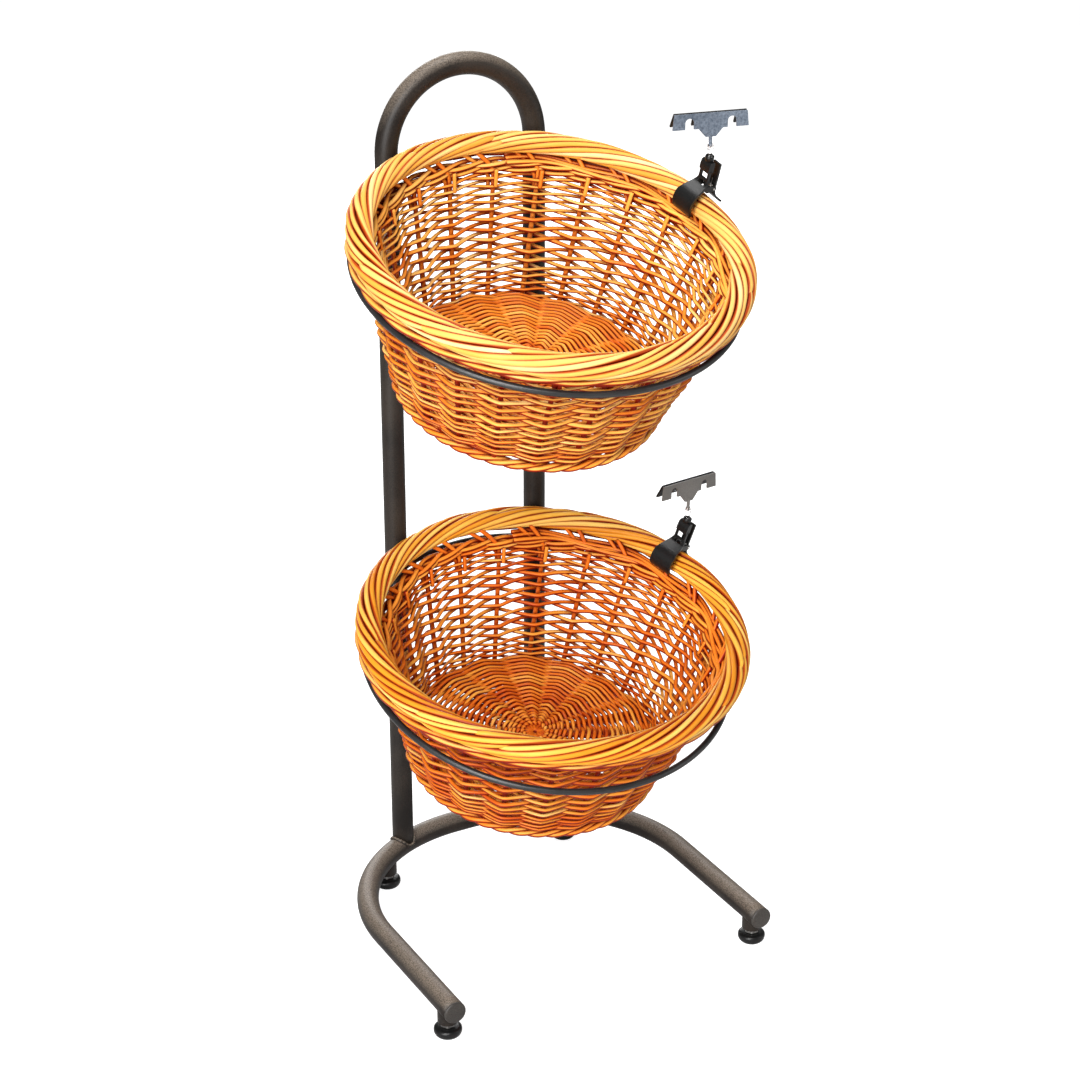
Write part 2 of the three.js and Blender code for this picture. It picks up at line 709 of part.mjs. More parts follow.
// The hoop's middle stands far enough forward for the rod to touch both posts
const HOOP_AT_POST = Math.sqrt(HOOP_R ** 2 - POST_X ** 2);
const HOOP_SLOPE = (Math.cos(TILT) * POST_X) / HOOP_AT_POST;
const HOOP_TO_POST = (TUBE_R + ROD_R + GAP) * Math.hypot(1, HOOP_SLOPE);
const HOOP_Y = -HOOP_TO_POST - Math.cos(TILT) * HOOP_AT_POST;

function basketTier(stand, tier) {
  const tilted = new THREE.Group();
  tilted.position.set(0, HOOP_Y, tier.hoopZ);
  tilted.rotation.x = TILT;
  stand.add(tilted);
  const hoop = new THREE.TorusGeometry(HOOP_R, ROD_R, ROD_SIDES, RING_STEPS);
  piece(tilted, `${tier.name}_hoop`, hoop, powderCoat());
  const basket = new THREE.Group();
  basket.position.set(tier.aside, 0, RIM_ABOVE_HOOP);
  tilted.add(basket);
  piece(basket, `${tier.name}_basket_border`, border(tier.rimR), paleWillow());
  piece(basket, `${tier.name}_basket_wale`, wale(), willow());
  piece(basket, `${tier.name}_basket_wall`, wall(), willow());
  piece(basket, `${tier.name}_basket_floor`, basketFloor(), willow());
  signClip(stand, basket, tier);
}

// The whole stand, moved so that the origin is under the middle of its box
const bakery_stand = new THREE.Group();
const stand = new THREE.Group();
bakery_stand.add(stand);
frameTubes(stand);
endPlug(stand, -1, "left");
endPlug(stand, 1, "right");
const rearFromBend = Math.sqrt(BASE_BEND_R ** 2 - (FOOT_REAR_X - BEND_CENTRE_X) ** 2);
for (const [side, sideName] of [[-1, "left"], [1, "right"]]) {
  foot(stand, `front_${sideName}`, side * ARM_X, FOOT_FRONT_Y);
  foot(stand, `rear_${sideName}`, side * FOOT_REAR_X, BEND_CENTRE_Y + rearFromBend);
}
for (const tier of TIERS) basketTier(stand, tier);
const box = new THREE.Box3().setFromObject(stand, true);
const middle = box.getCenter(new THREE.Vector3());
stand.position.set(-middle.x, -middle.y, -box.min.z);

export default bakery_stand;
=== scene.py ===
# %% [markdown]
# A bakery display stand: a bent tube frame carries two wire hoops, and a round willow basket
# hangs tilted forward in each hoop, with a sprung sign clip on its border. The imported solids
# give every place and every moving body, so the first step loads them and keeps their box.

# %% Load the solids
import math
import random
import bpy
import numpy as np
from mathutils import Matrix, Vector


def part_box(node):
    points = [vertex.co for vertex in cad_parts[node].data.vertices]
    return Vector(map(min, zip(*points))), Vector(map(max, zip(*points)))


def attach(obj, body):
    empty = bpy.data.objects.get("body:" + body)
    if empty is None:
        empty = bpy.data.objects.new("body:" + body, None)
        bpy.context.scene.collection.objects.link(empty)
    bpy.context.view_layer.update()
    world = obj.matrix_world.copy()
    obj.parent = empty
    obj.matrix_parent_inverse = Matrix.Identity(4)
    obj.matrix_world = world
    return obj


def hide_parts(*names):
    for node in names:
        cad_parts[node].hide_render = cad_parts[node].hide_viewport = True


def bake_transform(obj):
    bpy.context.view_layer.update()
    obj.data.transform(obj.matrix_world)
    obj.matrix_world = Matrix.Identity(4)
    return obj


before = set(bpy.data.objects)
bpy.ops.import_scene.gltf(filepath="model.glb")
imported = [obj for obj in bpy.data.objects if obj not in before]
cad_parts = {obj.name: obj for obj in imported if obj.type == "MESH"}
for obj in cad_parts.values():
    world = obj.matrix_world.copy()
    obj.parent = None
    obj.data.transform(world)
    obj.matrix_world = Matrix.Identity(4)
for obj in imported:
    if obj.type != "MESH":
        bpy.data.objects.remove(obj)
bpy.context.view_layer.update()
scene = bpy.context.scene
scene.view_settings.view_transform = "Standard"

# %% [markdown]
# Everything is placed from a few sizes that the solids also use, in metres. The middle of the
# base tube and the line of the posts are read from the solids, so the looks follow them.

# %% Shared places and sizes
base_low, base_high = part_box("base_tube")
arch_low, arch_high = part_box("arch_tube")
STAND_X = (base_low.x + base_high.x) / 2
POST_Y = (arch_low.y + arch_high.y) / 2
TUBE_R = 0.0111
POST_HALF = (arch_high.x - arch_low.x) / 2 - TUBE_R
ARCH_SPRING_Z = arch_high.z - TUBE_R - POST_HALF
BASE_Z = (base_low.z + base_high.z) / 2
ARM_HALF = (base_high.x - base_low.x) / 2 - TUBE_R
BASE_BEND_R = 0.1636
TILT = math.radians(18.5)
ROD_R = 0.0032
HOOP_R = 0.181
RIM_ABOVE_HOOP = 0.0275
TIERS = ("upper", "lower")
print("stand middle", round(STAND_X, 4), "posts at y", round(POST_Y, 4), "half gap", round(POST_HALF, 4))

# %% [markdown]
# The photograph was taken a little above the stand and from its left, with a long lens. The
# camera below has the place, turn and lens that were fitted to the straight tubes and hoops.

# %% Camera
SENSOR_MM, LENS_MM = 36, 85.46
TURN, RAISE = 0.5016, 0.4160
CAMERA_FROM_STAND = (-1.0855, -2.1366, 1.4274)

camera_data = bpy.data.cameras.new("photo_camera")
camera_data.sensor_width = SENSOR_MM
camera_data.lens = LENS_MM
camera = bpy.data.objects.new("photo_camera", camera_data)
scene.collection.objects.link(camera)
level_ahead = Vector((math.sin(TURN), math.cos(TURN), 0))
camera_ahead = level_ahead * math.cos(RAISE) - Vector((0, 0, math.sin(RAISE)))
camera_right = Vector((math.cos(TURN), -math.sin(TURN), 0))
camera_up = camera_right.cross(camera_ahead)
camera_place = Vector((STAND_X, POST_Y, 0)) + Vector(CAMERA_FROM_STAND)
turned_to = Matrix((camera_right, camera_up, -camera_ahead)).transposed()
camera.matrix_world = Matrix.Translation(camera_place) @ turned_to.to_4x4()
scene.camera = camera
print("camera at", [round(c, 3) for c in camera_place])

# %% [markdown]
# Every finish here is a small tree of shader nodes. A few helpers keep the trees short to write:
# one adds a node and gives each input a link or a plain value, and the others add the nodes that
# come up again and again.

# %% Shader helpers
def nodes_of(owner):
    owner.use_nodes = True
    tree = owner.node_tree
    tree.nodes.clear()
    return tree


def fill(tree, node, inputs):
    for socket, value in inputs.items():
        if isinstance(value, bpy.types.NodeSocket):
            tree.links.new(value, node.inputs[socket])
        else:
            node.inputs[socket].default_value = value
    return node


def add_node(tree, kind, inputs=None):
    return fill(tree, tree.nodes.new("ShaderNode" + kind), inputs or {})


def maths(tree, operation, *values):
    node = add_node(tree, "Math", dict(enumerate(values)))
    node.operation = operation
    return node.outputs[0]


def noise(tree, place, scale, detail=2):
    node = add_node(tree, "TexNoise", {"Vector": place, "Scale": scale, "Detail": detail})
    return node.outputs["Fac"]


def ranged(tree, value, start, end, low, high, smooth=False):
    limits = {"From Min": start, "From Max": end, "To Min": low, "To Max": high}
    node = add_node(tree, "MapRange", {"Value": value, **limits})
    if smooth:
        node.interpolation_type = "SMOOTHSTEP"
    return node.outputs[0]


def mixed(tree, amount, under, over):
    node = tree.nodes.new("ShaderNodeMix")
    node.data_type = "RGBA"
    return fill(tree, node, {"Factor": amount, "A": under, "B": (*over, 1)}).outputs["Result"]


def surface(tree, shader):
    add_node(tree, "OutputMaterial", {"Surface": shader.outputs[0]})


print("shader helpers ready")

# %% [markdown]
# The studio is plain: a big pale floor and an even white sky. The floor shows white to the camera
# but still takes the stand's shadow, because only part of its brightness is its own. The sky is
# white where it is seen and much dimmer as a light.

# %% Floor and sky
FLOOR_HALF = 30
FLOOR_MATT, FLOOR_GLOW, FLOOR_BOUNCE = 0.62, 0.84, 0.6
SKY_LIGHT = 0.22


def grey(level):
    return (level, level, level, 1)


def seen_directly(tree):
    rays = add_node(tree, "LightPath").outputs
    return maths(tree, "MAXIMUM", rays["Is Camera Ray"], rays["Is Transmission Ray"])


def by_sight(tree, unseen, seen):
    return add_node(tree, "MixShader", {0: seen_directly(tree), 1: unseen.outputs[0], 2: seen.outputs[0]})


floor_mesh = bpy.data.meshes.new("studio_floor")
corners = [(x * FLOOR_HALF, y * FLOOR_HALF, 0) for x, y in ((-1, -1), (1, -1), (1, 1), (-1, 1))]
floor_mesh.from_pydata(corners, [], [(0, 1, 2, 3)])
floor = bpy.data.objects.new("studio_floor", floor_mesh)
scene.collection.objects.link(floor)
paper = bpy.data.materials.new("floor_paper")
tree = nodes_of(paper)
matt = add_node(tree, "BsdfDiffuse", {"Color": grey(FLOOR_MATT)})
glow = add_node(tree, "Emission", {"Color": grey(FLOOR_GLOW), "Strength": 1.0})
bounce = add_node(tree, "BsdfDiffuse", {"Color": grey(FLOOR_BOUNCE)})
pale = add_node(tree, "AddShader", {0: glow.outputs[0], 1: matt.outputs[0]})
surface(tree, by_sight(tree, bounce, pale))
floor_mesh.materials.append(paper)

scene.world = bpy.data.worlds.new("studio_sky")
sky = nodes_of(scene.world)
ambient = add_node(sky, "Background", {"Color": grey(1), "Strength": SKY_LIGHT})
shown = add_node(sky, "Background", {"Color": grey(1), "Strength": 1.0})
add_node(sky, "OutputWorld", {"Surface": by_sight(sky, ambient, shown).outputs[0]})
print("floor", 2 * FLOOR_HALF, "m across, sky light", SKY_LIGHT)

# %% [markdown]
# Soft light comes from a large lamp above and to the left and another at the left front. Weaker
# ones at the top, the right and behind fill the shadows, so that the far side shows its colours.

# %% Lamps
LAMPS_AIM = Vector((0, 0, 0.45))
LAMPS = {
    "top_left_lamp": {"place": (-1.5, -1.7, 2.2), "size": 1.0, "watts": 76},
    "top_lamp": {"place": (0.1, 0.2, 2.7), "size": 1.0, "watts": 30},
    "front_left_lamp": {"place": (-2.6, -1.9, 0.9), "size": 1.4, "watts": 82},
    "right_lamp": {"place": (2.2, -1.8, 1.2), "size": 1.4, "watts": 14},
    "back_lamp": {"place": (0.9, 2.7, 1.1), "size": 1.6, "watts": 46},
}
for name, make in LAMPS.items():
    light = bpy.data.lights.new(name, "AREA")
    light.shape = "SQUARE"
    light.size = make["size"]
    light.energy = make["watts"]
    lamp = bpy.data.objects.new(name, light)
    scene.collection.objects.link(lamp)
    lamp.location = make["place"]
    lamp.rotation_euler = (LAMPS_AIM - Vector(make["place"])).to_track_quat("-Z", "Y").to_euler()
print("lamps:", list(LAMPS))

# %% [markdown]
# Hard finishes first. The frame has a fine textured powder coat: a dark bronze-grey whose grain
# both lightens the colour in specks and breaks up the gloss. Its upward sides are made paler by a
# painted highlight that stands in for the top light's sheen. Plastic and plated steel use the same
# recipe with other numbers: two colours mixed by noise, and the noise again as bump.

# %% Coated metal, plastic and plated steel
SPECK_DARKEST, SPECK_LIGHTEST = 0.125, 0.375
SPECK_HEIGHT = 0.0003
GLOSS_SPREAD = 0.08
PATCHES_PER_GRAIN = 1 / 40
TOP_LIGHT_FROM, TOP_LIGHT_MOST = 0.25, 0.75


# Painted highlight: faces that point up are mixed towards a paler colour, in patches, as if lit by the top
# lamp's sheen.
def painted_top_light(tree, colour, specks, top_light_colour):
    normal = add_node(tree, "NewGeometry").outputs["Normal"]
    upward = add_node(tree, "SeparateXYZ", {0: normal}).outputs["Z"]
    top_light_mask = ranged(tree, upward, TOP_LIGHT_FROM, 1.0, 0.0, TOP_LIGHT_MOST)
    patchy = ranged(tree, specks, 0.40, 0.60, 0.45, 1.25)
    return mixed(tree, maths(tree, "MULTIPLY", top_light_mask, patchy), colour, top_light_colour)


def speckled(name, dark, light, roughness, grain, bump, metallic=0.0, shine=0.5, top_light_colour=None):
    material = bpy.data.materials.new(name)
    tree = nodes_of(material)
    place = add_node(tree, "TexCoord").outputs["Object"]
    specks = noise(tree, place, grain, 3)
    patches = noise(tree, place, grain * PATCHES_PER_GRAIN)
    ramp = add_node(tree, "ValToRGB", {"Fac": maths(tree, "MULTIPLY", specks, patches)})
    for i, (position, colour) in enumerate(((SPECK_DARKEST, dark), (SPECK_LIGHTEST, light))):
        ramp.color_ramp.elements[i].position = position
        ramp.color_ramp.elements[i].color = (*colour, 1)
    colour = ramp.outputs["Color"]
    if top_light_colour:
        colour = painted_top_light(tree, colour, specks, top_light_colour)
    bumps = add_node(tree, "Bump", {"Strength": bump, "Distance": SPECK_HEIGHT, "Height": specks})
    surface(tree, add_node(tree, "BsdfPrincipled", {
        "Base Color": colour,
        "Metallic": metallic,
        "Roughness": ranged(tree, specks, 0, 1, roughness - GLOSS_SPREAD, roughness + GLOSS_SPREAD),
        "Specular IOR Level": shine,
        "Normal": bumps.outputs["Normal"],
    }))
    return material


# The last colour given here is the painted highlight laid on the frame's upward sides.
powder_coat = speckled(
    "powder_coat", (0.008, 0.006, 0.005), (0.028, 0.021, 0.016),
    roughness=0.46, grain=900, bump=0.5, shine=0.25, top_light_colour=(0.26, 0.21, 0.165),
)
hoop_coat = speckled(
    "hoop_coat", (0.008, 0.008, 0.008), (0.024, 0.023, 0.023),
    roughness=0.36, grain=1400, bump=0.25,
)
black_moulding = speckled(
    "black_moulding", (0.003, 0.003, 0.003), (0.008, 0.008, 0.008),
    roughness=0.34, grain=900, bump=0.12, shine=0.35,
)
grey_leaf = speckled(
    "grey_leaf", (0.045, 0.060, 0.085), (0.150, 0.180, 0.225),
    roughness=0.42, grain=500, bump=0.2,
)
brown_leaf = speckled(
    "brown_leaf", (0.105, 0.098, 0.090), (0.160, 0.150, 0.138),
    roughness=0.45, grain=1100, bump=0.2,
)
plug_moulding = speckled(
    "plug_moulding", (0.016, 0.013, 0.011), (0.052, 0.044, 0.037),
    roughness=0.46, grain=900, bump=0.3,
)
plated_steel = speckled(
    "plated_steel", (0.42, 0.41, 0.40), (0.62, 0.60, 0.57),
    roughness=0.30, grain=600, bump=0.15, metallic=0.9,
)
print("hard finishes:", powder_coat.name, hoop_coat.name, black_moulding.name, plated_steel.name)

# %% [markdown]
# The swivel link is clear moulded plastic. A transmitting surface with a little haze in its
# roughness is enough; the white room gives it its edges.

# %% Clear plastic
clear_moulding = bpy.data.materials.new("clear_moulding")
tree = nodes_of(clear_moulding)
haze = add_node(tree, "TexNoise", {"Scale": 300}).outputs["Fac"]
surface(tree, add_node(tree, "BsdfPrincipled", {
    "Base Color": (0.97, 0.95, 0.94, 1),
    "Transmission Weight": 1.0,
    "IOR": 1.45,
    "Roughness": ranged(tree, haze, 0, 1, 0.04, 0.16),
}))
print("clear finish:", clear_moulding.name)

# %% [markdown]
# Willow rods are peeled, buffed and varnished: straw to orange, each rod a little different, with
# long streaks. The sides where rods lie against each other, and the undersides of the woven rows,
# are darkened to nearly red-brown as painted shade. Every rod mesh carries three values: its tone,
# how far a point is turned in towards the weave, and a grain coordinate that runs along the rod, so
# the streaks follow the wood round every bend. A deep red painted shade also fills the recesses
# that an ambient occlusion node finds.

# %% Willow
STREAK_STRETCH, BLOTCH_STRETCH = (38, 900, 7.3), (16, 60, 3.1)
BLOTCH_SWING = 0.5
STREAK_MOST = 0.38
STREAK_HEIGHT = 0.0004
HOLLOW_REACH, HOLLOW_SAMPLES = 0.009, 6
# Painted shade: this deep red is laid into the recesses between rods that ambient occlusion finds.
HOLLOW_PAINTED_SHADE = (0.22, 0.005, 0.0005)


def rod_value(tree, label):
    node = add_node(tree, "Attribute")
    node.attribute_name = label
    return node.outputs


def along_grain(tree, stretch, detail):
    mapping = add_node(tree, "Mapping", {"Vector": rod_value(tree, "grain")["Vector"], "Scale": stretch})
    return noise(tree, mapping.outputs["Vector"], 1.0, detail)


def wood_tones(tree, tones):
    blotches = along_grain(tree, BLOTCH_STRETCH, 2)
    shift = maths(tree, "MULTIPLY_ADD", blotches, BLOTCH_SWING, -BLOTCH_SWING / 2)
    ramp = add_node(tree, "ValToRGB", {"Fac": maths(tree, "ADD", rod_value(tree, "tone")["Fac"], shift)})
    stops = ramp.color_ramp.elements
    while len(stops) < len(tones):
        stops.new(0.5)
    for i, colour in enumerate(tones):
        stops[i].position = i / (len(tones) - 1)
        stops[i].color = (*colour, 1)
    return ramp.outputs["Color"]


# Amount of painted shade: it rises where ambient occlusion finds a point closed in.
def hollow_shade_amount(tree):
    node = add_node(tree, "AmbientOcclusion", {"Distance": HOLLOW_REACH})
    node.samples = HOLLOW_SAMPLES
    return ranged(tree, node.outputs["AO"], 0.36, 0.82, 0.95, 0.0)


def willow_finish(name, tones, crease, crease_from, crease_to, roughness):
    material = bpy.data.materials.new(name)
    tree = nodes_of(material)
    streaks = along_grain(tree, STREAK_STRETCH, 4)
    streak_depth = ranged(tree, streaks, 0.35, 0.75, 0, STREAK_MOST)
    streaked = mixed(tree, streak_depth, wood_tones(tree, tones), tones[1])
    # Painted shade: points turned in towards neighbouring rods, or turned down on the woven rows, are
    # darkened towards the crease colour.
    turned_in = rod_value(tree, "turned_in")["Fac"]
    crease_depth = ranged(tree, turned_in, crease_from, crease_to, 0, 1, smooth=True)
    creased = mixed(tree, crease_depth, streaked, crease)
    bumps = add_node(tree, "Bump", {"Strength": 0.3, "Distance": STREAK_HEIGHT, "Height": streaks})
    surface(tree, add_node(tree, "BsdfPrincipled", {
        "Base Color": mixed(tree, hollow_shade_amount(tree), creased, HOLLOW_PAINTED_SHADE),
        "Roughness": ranged(tree, streaks, 0, 1, roughness - 0.08, roughness + 0.12),
        "Specular IOR Level": 0.16,
        "Coat Weight": 0.04,
        "Coat Roughness": 0.25,
        "Normal": bumps.outputs["Normal"],
    }))
    return material


# Colours of the painted shade laid on rod sides turned in towards their neighbours or turned down.
DEEP_CREASE_SHADE = (0.26, 0.012, 0.001)
WARM_CREASE_SHADE = (0.38, 0.050, 0.003)
UPPER_BORDER = [(0.58, 0.18, 0.012), (0.80, 0.37, 0.05), (0.88, 0.53, 0.15), (0.94, 0.72, 0.37)]
LOWER_BORDER = [(0.48, 0.11, 0.006), (0.76, 0.28, 0.015), (0.88, 0.46, 0.06), (0.95, 0.67, 0.20)]
UPPER_WEAVE = [(0.56, 0.075, 0.005), (0.86, 0.25, 0.02), (0.95, 0.49, 0.09), (0.97, 0.74, 0.30)]
LOWER_WEAVE = [(0.50, 0.045, 0.003), (0.80, 0.175, 0.01), (0.93, 0.39, 0.05), (0.96, 0.64, 0.20)]
border_willow = {
    "upper": willow_finish("border_willow_upper", UPPER_BORDER, WARM_CREASE_SHADE, 0.06, 0.32, 0.42),
    "lower": willow_finish("border_willow_lower", LOWER_BORDER, WARM_CREASE_SHADE, 0.05, 0.30, 0.42),
}
weave_willow = {
    "upper": willow_finish("weave_willow_upper", UPPER_WEAVE, DEEP_CREASE_SHADE, 0.26, 0.52, 0.44),
    "lower": willow_finish("weave_willow_lower", LOWER_WEAVE, DEEP_CREASE_SHADE, 0.24, 0.50, 0.44),
}
print("willow finishes:", len(border_willow) + len(weave_willow))

# %% [markdown]
# Nearly every piece here is a round rod or tube along a line, so one helper sweeps a ring of
# points along a path. It keeps each ring's own reference direction, which tells later how far a
# point on the rod is turned in. Several rods can share one mesh.

# %% Rods along lines
UP = (0, 0, 1)


def full_turn(steps):
    return np.linspace(0, 2 * np.pi, steps, endpoint=False)


def round_path(radius, angle, height):
    return np.stack(np.broadcast_arrays(radius * np.cos(angle), radius * np.sin(angle), height), 1)


def unit(vectors):
    return vectors / np.linalg.norm(vectors, axis=1)[:, None]


def ring_faces(rings, sides, closed=False, first=0):
    i = np.arange(rings if closed else rings - 1)[:, None]
    j = np.arange(sides)[None, :]
    here, there, beyond = i * sides, ((i + 1) % rings) * sides, (j + 1) % sides
    quads = np.stack([here + j, here + beyond, there + beyond, there + j], -1)
    faces = (quads.reshape(-1, 4) + first).tolist()
    if not closed:
        last = first + (rings - 1) * sides
        faces.append([first + k for k in reversed(range(sides))])
        faces.append([last + k for k in range(sides)])
    return faces


def settle(obj, body, stands_for=()):
    scene.collection.objects.link(obj)
    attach(obj, body)
    if stands_for:
        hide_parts(*stands_for)
    return obj


class RodMesh:
    def __init__(self):
        self.points, self.faces = [], []
        self.tone, self.turned_in, self.grain = [], [], []
        self.count = 0
        self.rods = 0

    def add(self, path, radius, reference, tone=0.6, closed=False, sides=8):
        path = np.asarray(path, float)
        steps = len(path)
        radius = np.broadcast_to(np.asarray(radius, float), (steps,))
        tone = np.broadcast_to(np.asarray(tone, float), (steps,))
        reference = np.broadcast_to(np.asarray(reference, float), path.shape)
        if closed:
            ahead = unit(np.roll(path, -1, 0) - np.roll(path, 1, 0))
        else:
            ahead = unit(np.gradient(path, axis=0))
        outward = unit(reference - (reference * ahead).sum(1)[:, None] * ahead)
        beside = np.cross(ahead, outward)
        angle = full_turn(sides)
        ring = np.cos(angle)[None, :, None] * outward[:, None, :]
        ring = ring + np.sin(angle)[None, :, None] * beside[:, None, :]
        points = path[:, None, :] + radius[:, None, None] * ring
        length = np.cumsum(np.linalg.norm(np.diff(path, axis=0, prepend=path[:1]), axis=1))
        grain = np.zeros((steps, sides, 3))
        grain[:, :, 0] = length[:, None]
        grain[:, :, 1] = np.minimum(angle, 2 * np.pi - angle) * radius.mean()
        grain[:, :, 2] = self.rods
        self.faces += ring_faces(steps, sides, closed, self.count)
        self.points.append(points.reshape(-1, 3))
        self.tone.append(np.repeat(tone, sides))
        self.turned_in.append(np.tile((1 - np.cos(angle)) / 2, steps))
        self.grain.append(grain.reshape(-1, 3))
        self.count += steps * sides
        self.rods += 1

    def piece(self, name, material, body, slot, stands_for=(), matrix=None):
        points = np.concatenate(self.points)
        if matrix is not None:
            place = np.array(matrix)
            points = points @ place[:3, :3].T + place[:3, 3]
        mesh = bpy.data.meshes.new(name)
        mesh.from_pydata(points.tolist(), [], self.faces)
        mesh.polygons.foreach_set("use_smooth", [True] * len(mesh.polygons))
        for label, values in (("tone", self.tone), ("turned_in", self.turned_in)):
            layer = mesh.attributes.new(label, "FLOAT", "POINT")
            layer.data.foreach_set("value", np.concatenate(values).astype(np.float32))
        layer = mesh.attributes.new("grain", "FLOAT_VECTOR", "POINT")
        layer.data.foreach_set("vector", np.concatenate(self.grain).astype(np.float32).ravel())
        mesh.materials.append(material)
        mesh.update()
        return settle(bpy.data.objects.new(name, mesh), body, stands_for)


print("rod helper ready")

# %% [markdown]
# The frame is two bent tubes. The arch tube makes both posts; the base tube runs back from one
# arm, round two wide bends and out along the other. Bends need many short steps, straights few,
# so each route lists its own points.

# %% Frame tubes
TUBE_SIDES = 48
POST_STEPS, ARCH_STEPS, ARM_STEPS, BEND_STEPS = 40, 64, 14, 48


def arc(centre, radius, start, end, steps, plane):
    angles = np.linspace(start, end, steps)
    points = np.zeros((steps, 3))
    points[:, 0] = centre[0] + np.cos(angles) * radius
    points[:, plane] = centre[plane] + np.sin(angles) * radius
    points[:, 3 - plane] = centre[3 - plane]
    return points


left_post, right_post = STAND_X - POST_HALF, STAND_X + POST_HALF
arch_route = np.concatenate([
    np.linspace((left_post, POST_Y, BASE_Z), (left_post, POST_Y, ARCH_SPRING_Z), POST_STEPS)[:-1],
    arc((STAND_X, POST_Y, ARCH_SPRING_Z), POST_HALF, math.pi, 0, ARCH_STEPS, 2)[:-1],
    np.linspace((right_post, POST_Y, ARCH_SPRING_Z), (right_post, POST_Y, BASE_Z), POST_STEPS),
])
arch = RodMesh()
arch.add(arch_route, TUBE_R, (0, 1, 0), sides=TUBE_SIDES)
arch.piece("arch_tube_coated", powder_coat, "frame", "powder_coat", ["arch_tube"])

left_arm, right_arm = STAND_X - ARM_HALF, STAND_X + ARM_HALF
bend_x = ARM_HALF - BASE_BEND_R
bend_y = POST_Y - math.sqrt(BASE_BEND_R ** 2 - (POST_HALF - bend_x) ** 2)
base_route = np.concatenate([
    np.linspace((left_arm, base_low.y, BASE_Z), (left_arm, bend_y, BASE_Z), ARM_STEPS)[:-1],
    arc((STAND_X - bend_x, bend_y, BASE_Z), BASE_BEND_R, math.pi, math.pi / 2, BEND_STEPS, 1),
    arc((STAND_X + bend_x, bend_y, BASE_Z), BASE_BEND_R, math.pi / 2, 0, BEND_STEPS, 1)[:-1],
    np.linspace((right_arm, bend_y, BASE_Z), (right_arm, base_low.y, BASE_Z), ARM_STEPS),
])
base = RodMesh()
base.add(base_route, TUBE_R, UP, sides=TUBE_SIDES)
base.piece("base_tube_coated", powder_coat, "frame", "powder_coat", ["base_tube"])
print("tubes:", len(arch_route), "and", len(base_route), "rings")

# %% [markdown]
# A weld bead runs round the foot of each post, where it meets the round back of the base tube. The
# bead is a thin rod that climbs and falls with that tube, and its thickness ripples as a weld does.

# %% Weld beads
BEAD_R, BEAD_RIPPLE, BEAD_RIPPLES = 0.0019, 0.0003, 22
BEAD_OUT, BEAD_LIFT = 0.0006, 0.0004
BEAD_STEPS = 96
BEAD_FLANK = 0.97

beads = RodMesh()
slope = math.atan2(POST_HALF - bend_x, POST_Y - bend_y)
round_post = full_turn(BEAD_STEPS)
ring = round_path(TUBE_R + BEAD_OUT, round_post, 0)
for side, post_x in ((-1, left_post), (1, right_post)):
    across = ring @ np.array([side * math.sin(slope), math.cos(slope), 0])
    over = np.clip(across, -TUBE_R * BEAD_FLANK, TUBE_R * BEAD_FLANK)
    path = ring + np.array([post_x, POST_Y, BASE_Z + BEAD_LIFT])
    path[:, 2] += np.sqrt(TUBE_R ** 2 - over ** 2)
    beads.add(path, BEAD_R + BEAD_RIPPLE * np.sin(round_post * BEAD_RIPPLES), ring, closed=True)
beads.piece("post_weld_beads", powder_coat, "frame", "powder_coat")
print("weld beads:", beads.rods)

# %% [markdown]
# Each hoop is a closed ring of round rod, tilted forward, whose back rests against both posts and
# is welded there by short beads above and below the rod. A tier's own matrix turns flat rings into
# tilted ones; it is used again for the baskets.

# %% Hoops
TACK_R, TACK_OUT, TACK_LIFT = 0.0024, 0.0028, 0.003
TACK_HALF_TURN, TACK_FADE_TURN = 0.035, 0.038


def tier_matrix(tier):
    low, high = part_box(tier + "_hoop")
    return Matrix.Translation((low + high) / 2) @ Matrix.Rotation(TILT, 4, "X")


for tier in TIERS:
    hoop = RodMesh()
    hoop.add(round_path(HOOP_R, full_turn(200), 0.0), ROD_R, UP, closed=True, sides=20)
    hoop.piece(tier + "_hoop_rod", hoop_coat, "frame", "powder_coat", [tier + "_hoop"], tier_matrix(tier))
    tacks = RodMesh()
    for side in (-1, 1):
        turn = math.acos(side * POST_HALF / HOOP_R)
        angle = np.linspace(turn - TACK_HALF_TURN, turn + TACK_HALF_TURN, 14)
        thick = TACK_R * np.sqrt(np.clip(1 - ((angle - turn) / TACK_FADE_TURN) ** 2, 0.02, 1))
        for lift in (-TACK_LIFT, TACK_LIFT):
            tacks.add(round_path(HOOP_R + TACK_OUT, angle, lift), thick, UP)
    tacks.piece(tier + "_hoop_welds", powder_coat, "frame", "powder_coat", (), tier_matrix(tier))
print("hoops tilted by", round(math.degrees(TILT), 1), "degrees")

# %% [markdown]
# Turned pieces: the feet's pads and sockets, the studs and the plugs in the tube ends. Each is a
# short profile spun about an axis, in millimetres, with small rounds from a bevel modifier where
# the moulding or the lathe left them.

# %% Feet and end plugs
MM = 0.001
PAD = [
    (9.0, 0), (11.0, 0.3), (12.4, 1.8), (13.3, 3.4), (13.7, 4.8), (13.8, 6.6),
    (13.5, 8.2), (12.6, 9.2), (10.5, 9.8), (6.5, 9.9), (4.4, 9.9),
]
SOCKET = [(9.0, 14.4), (9.7, 14.6), (10, 15.2), (10, 33.0)]
THREAD_FOOT, THREAD_PITCH, THREAD_TURNS = 5.4, 1.25, 13
THREAD = [(3.4 if k % 2 else 4.0, THREAD_FOOT + THREAD_PITCH / 2 * k) for k in range(2 * THREAD_TURNS + 1)]
PLUG = [
    (8.0, -12), (9.0, -11.4), (9.2, -10), (9.2, 0.2), (11.1, 0.2),
    (11.2, 1.4), (10.6, 2.4), (9.4, 2.9), (5, 3.1), (1, 3.2),
]


def round_edges(obj, width, segments, least_angle):
    rounds = obj.modifiers.new("edge_rounds", "BEVEL")
    rounds.width = width
    rounds.segments = segments
    rounds.limit_method = "ANGLE"
    rounds.angle_limit = math.radians(least_angle)
    return rounds


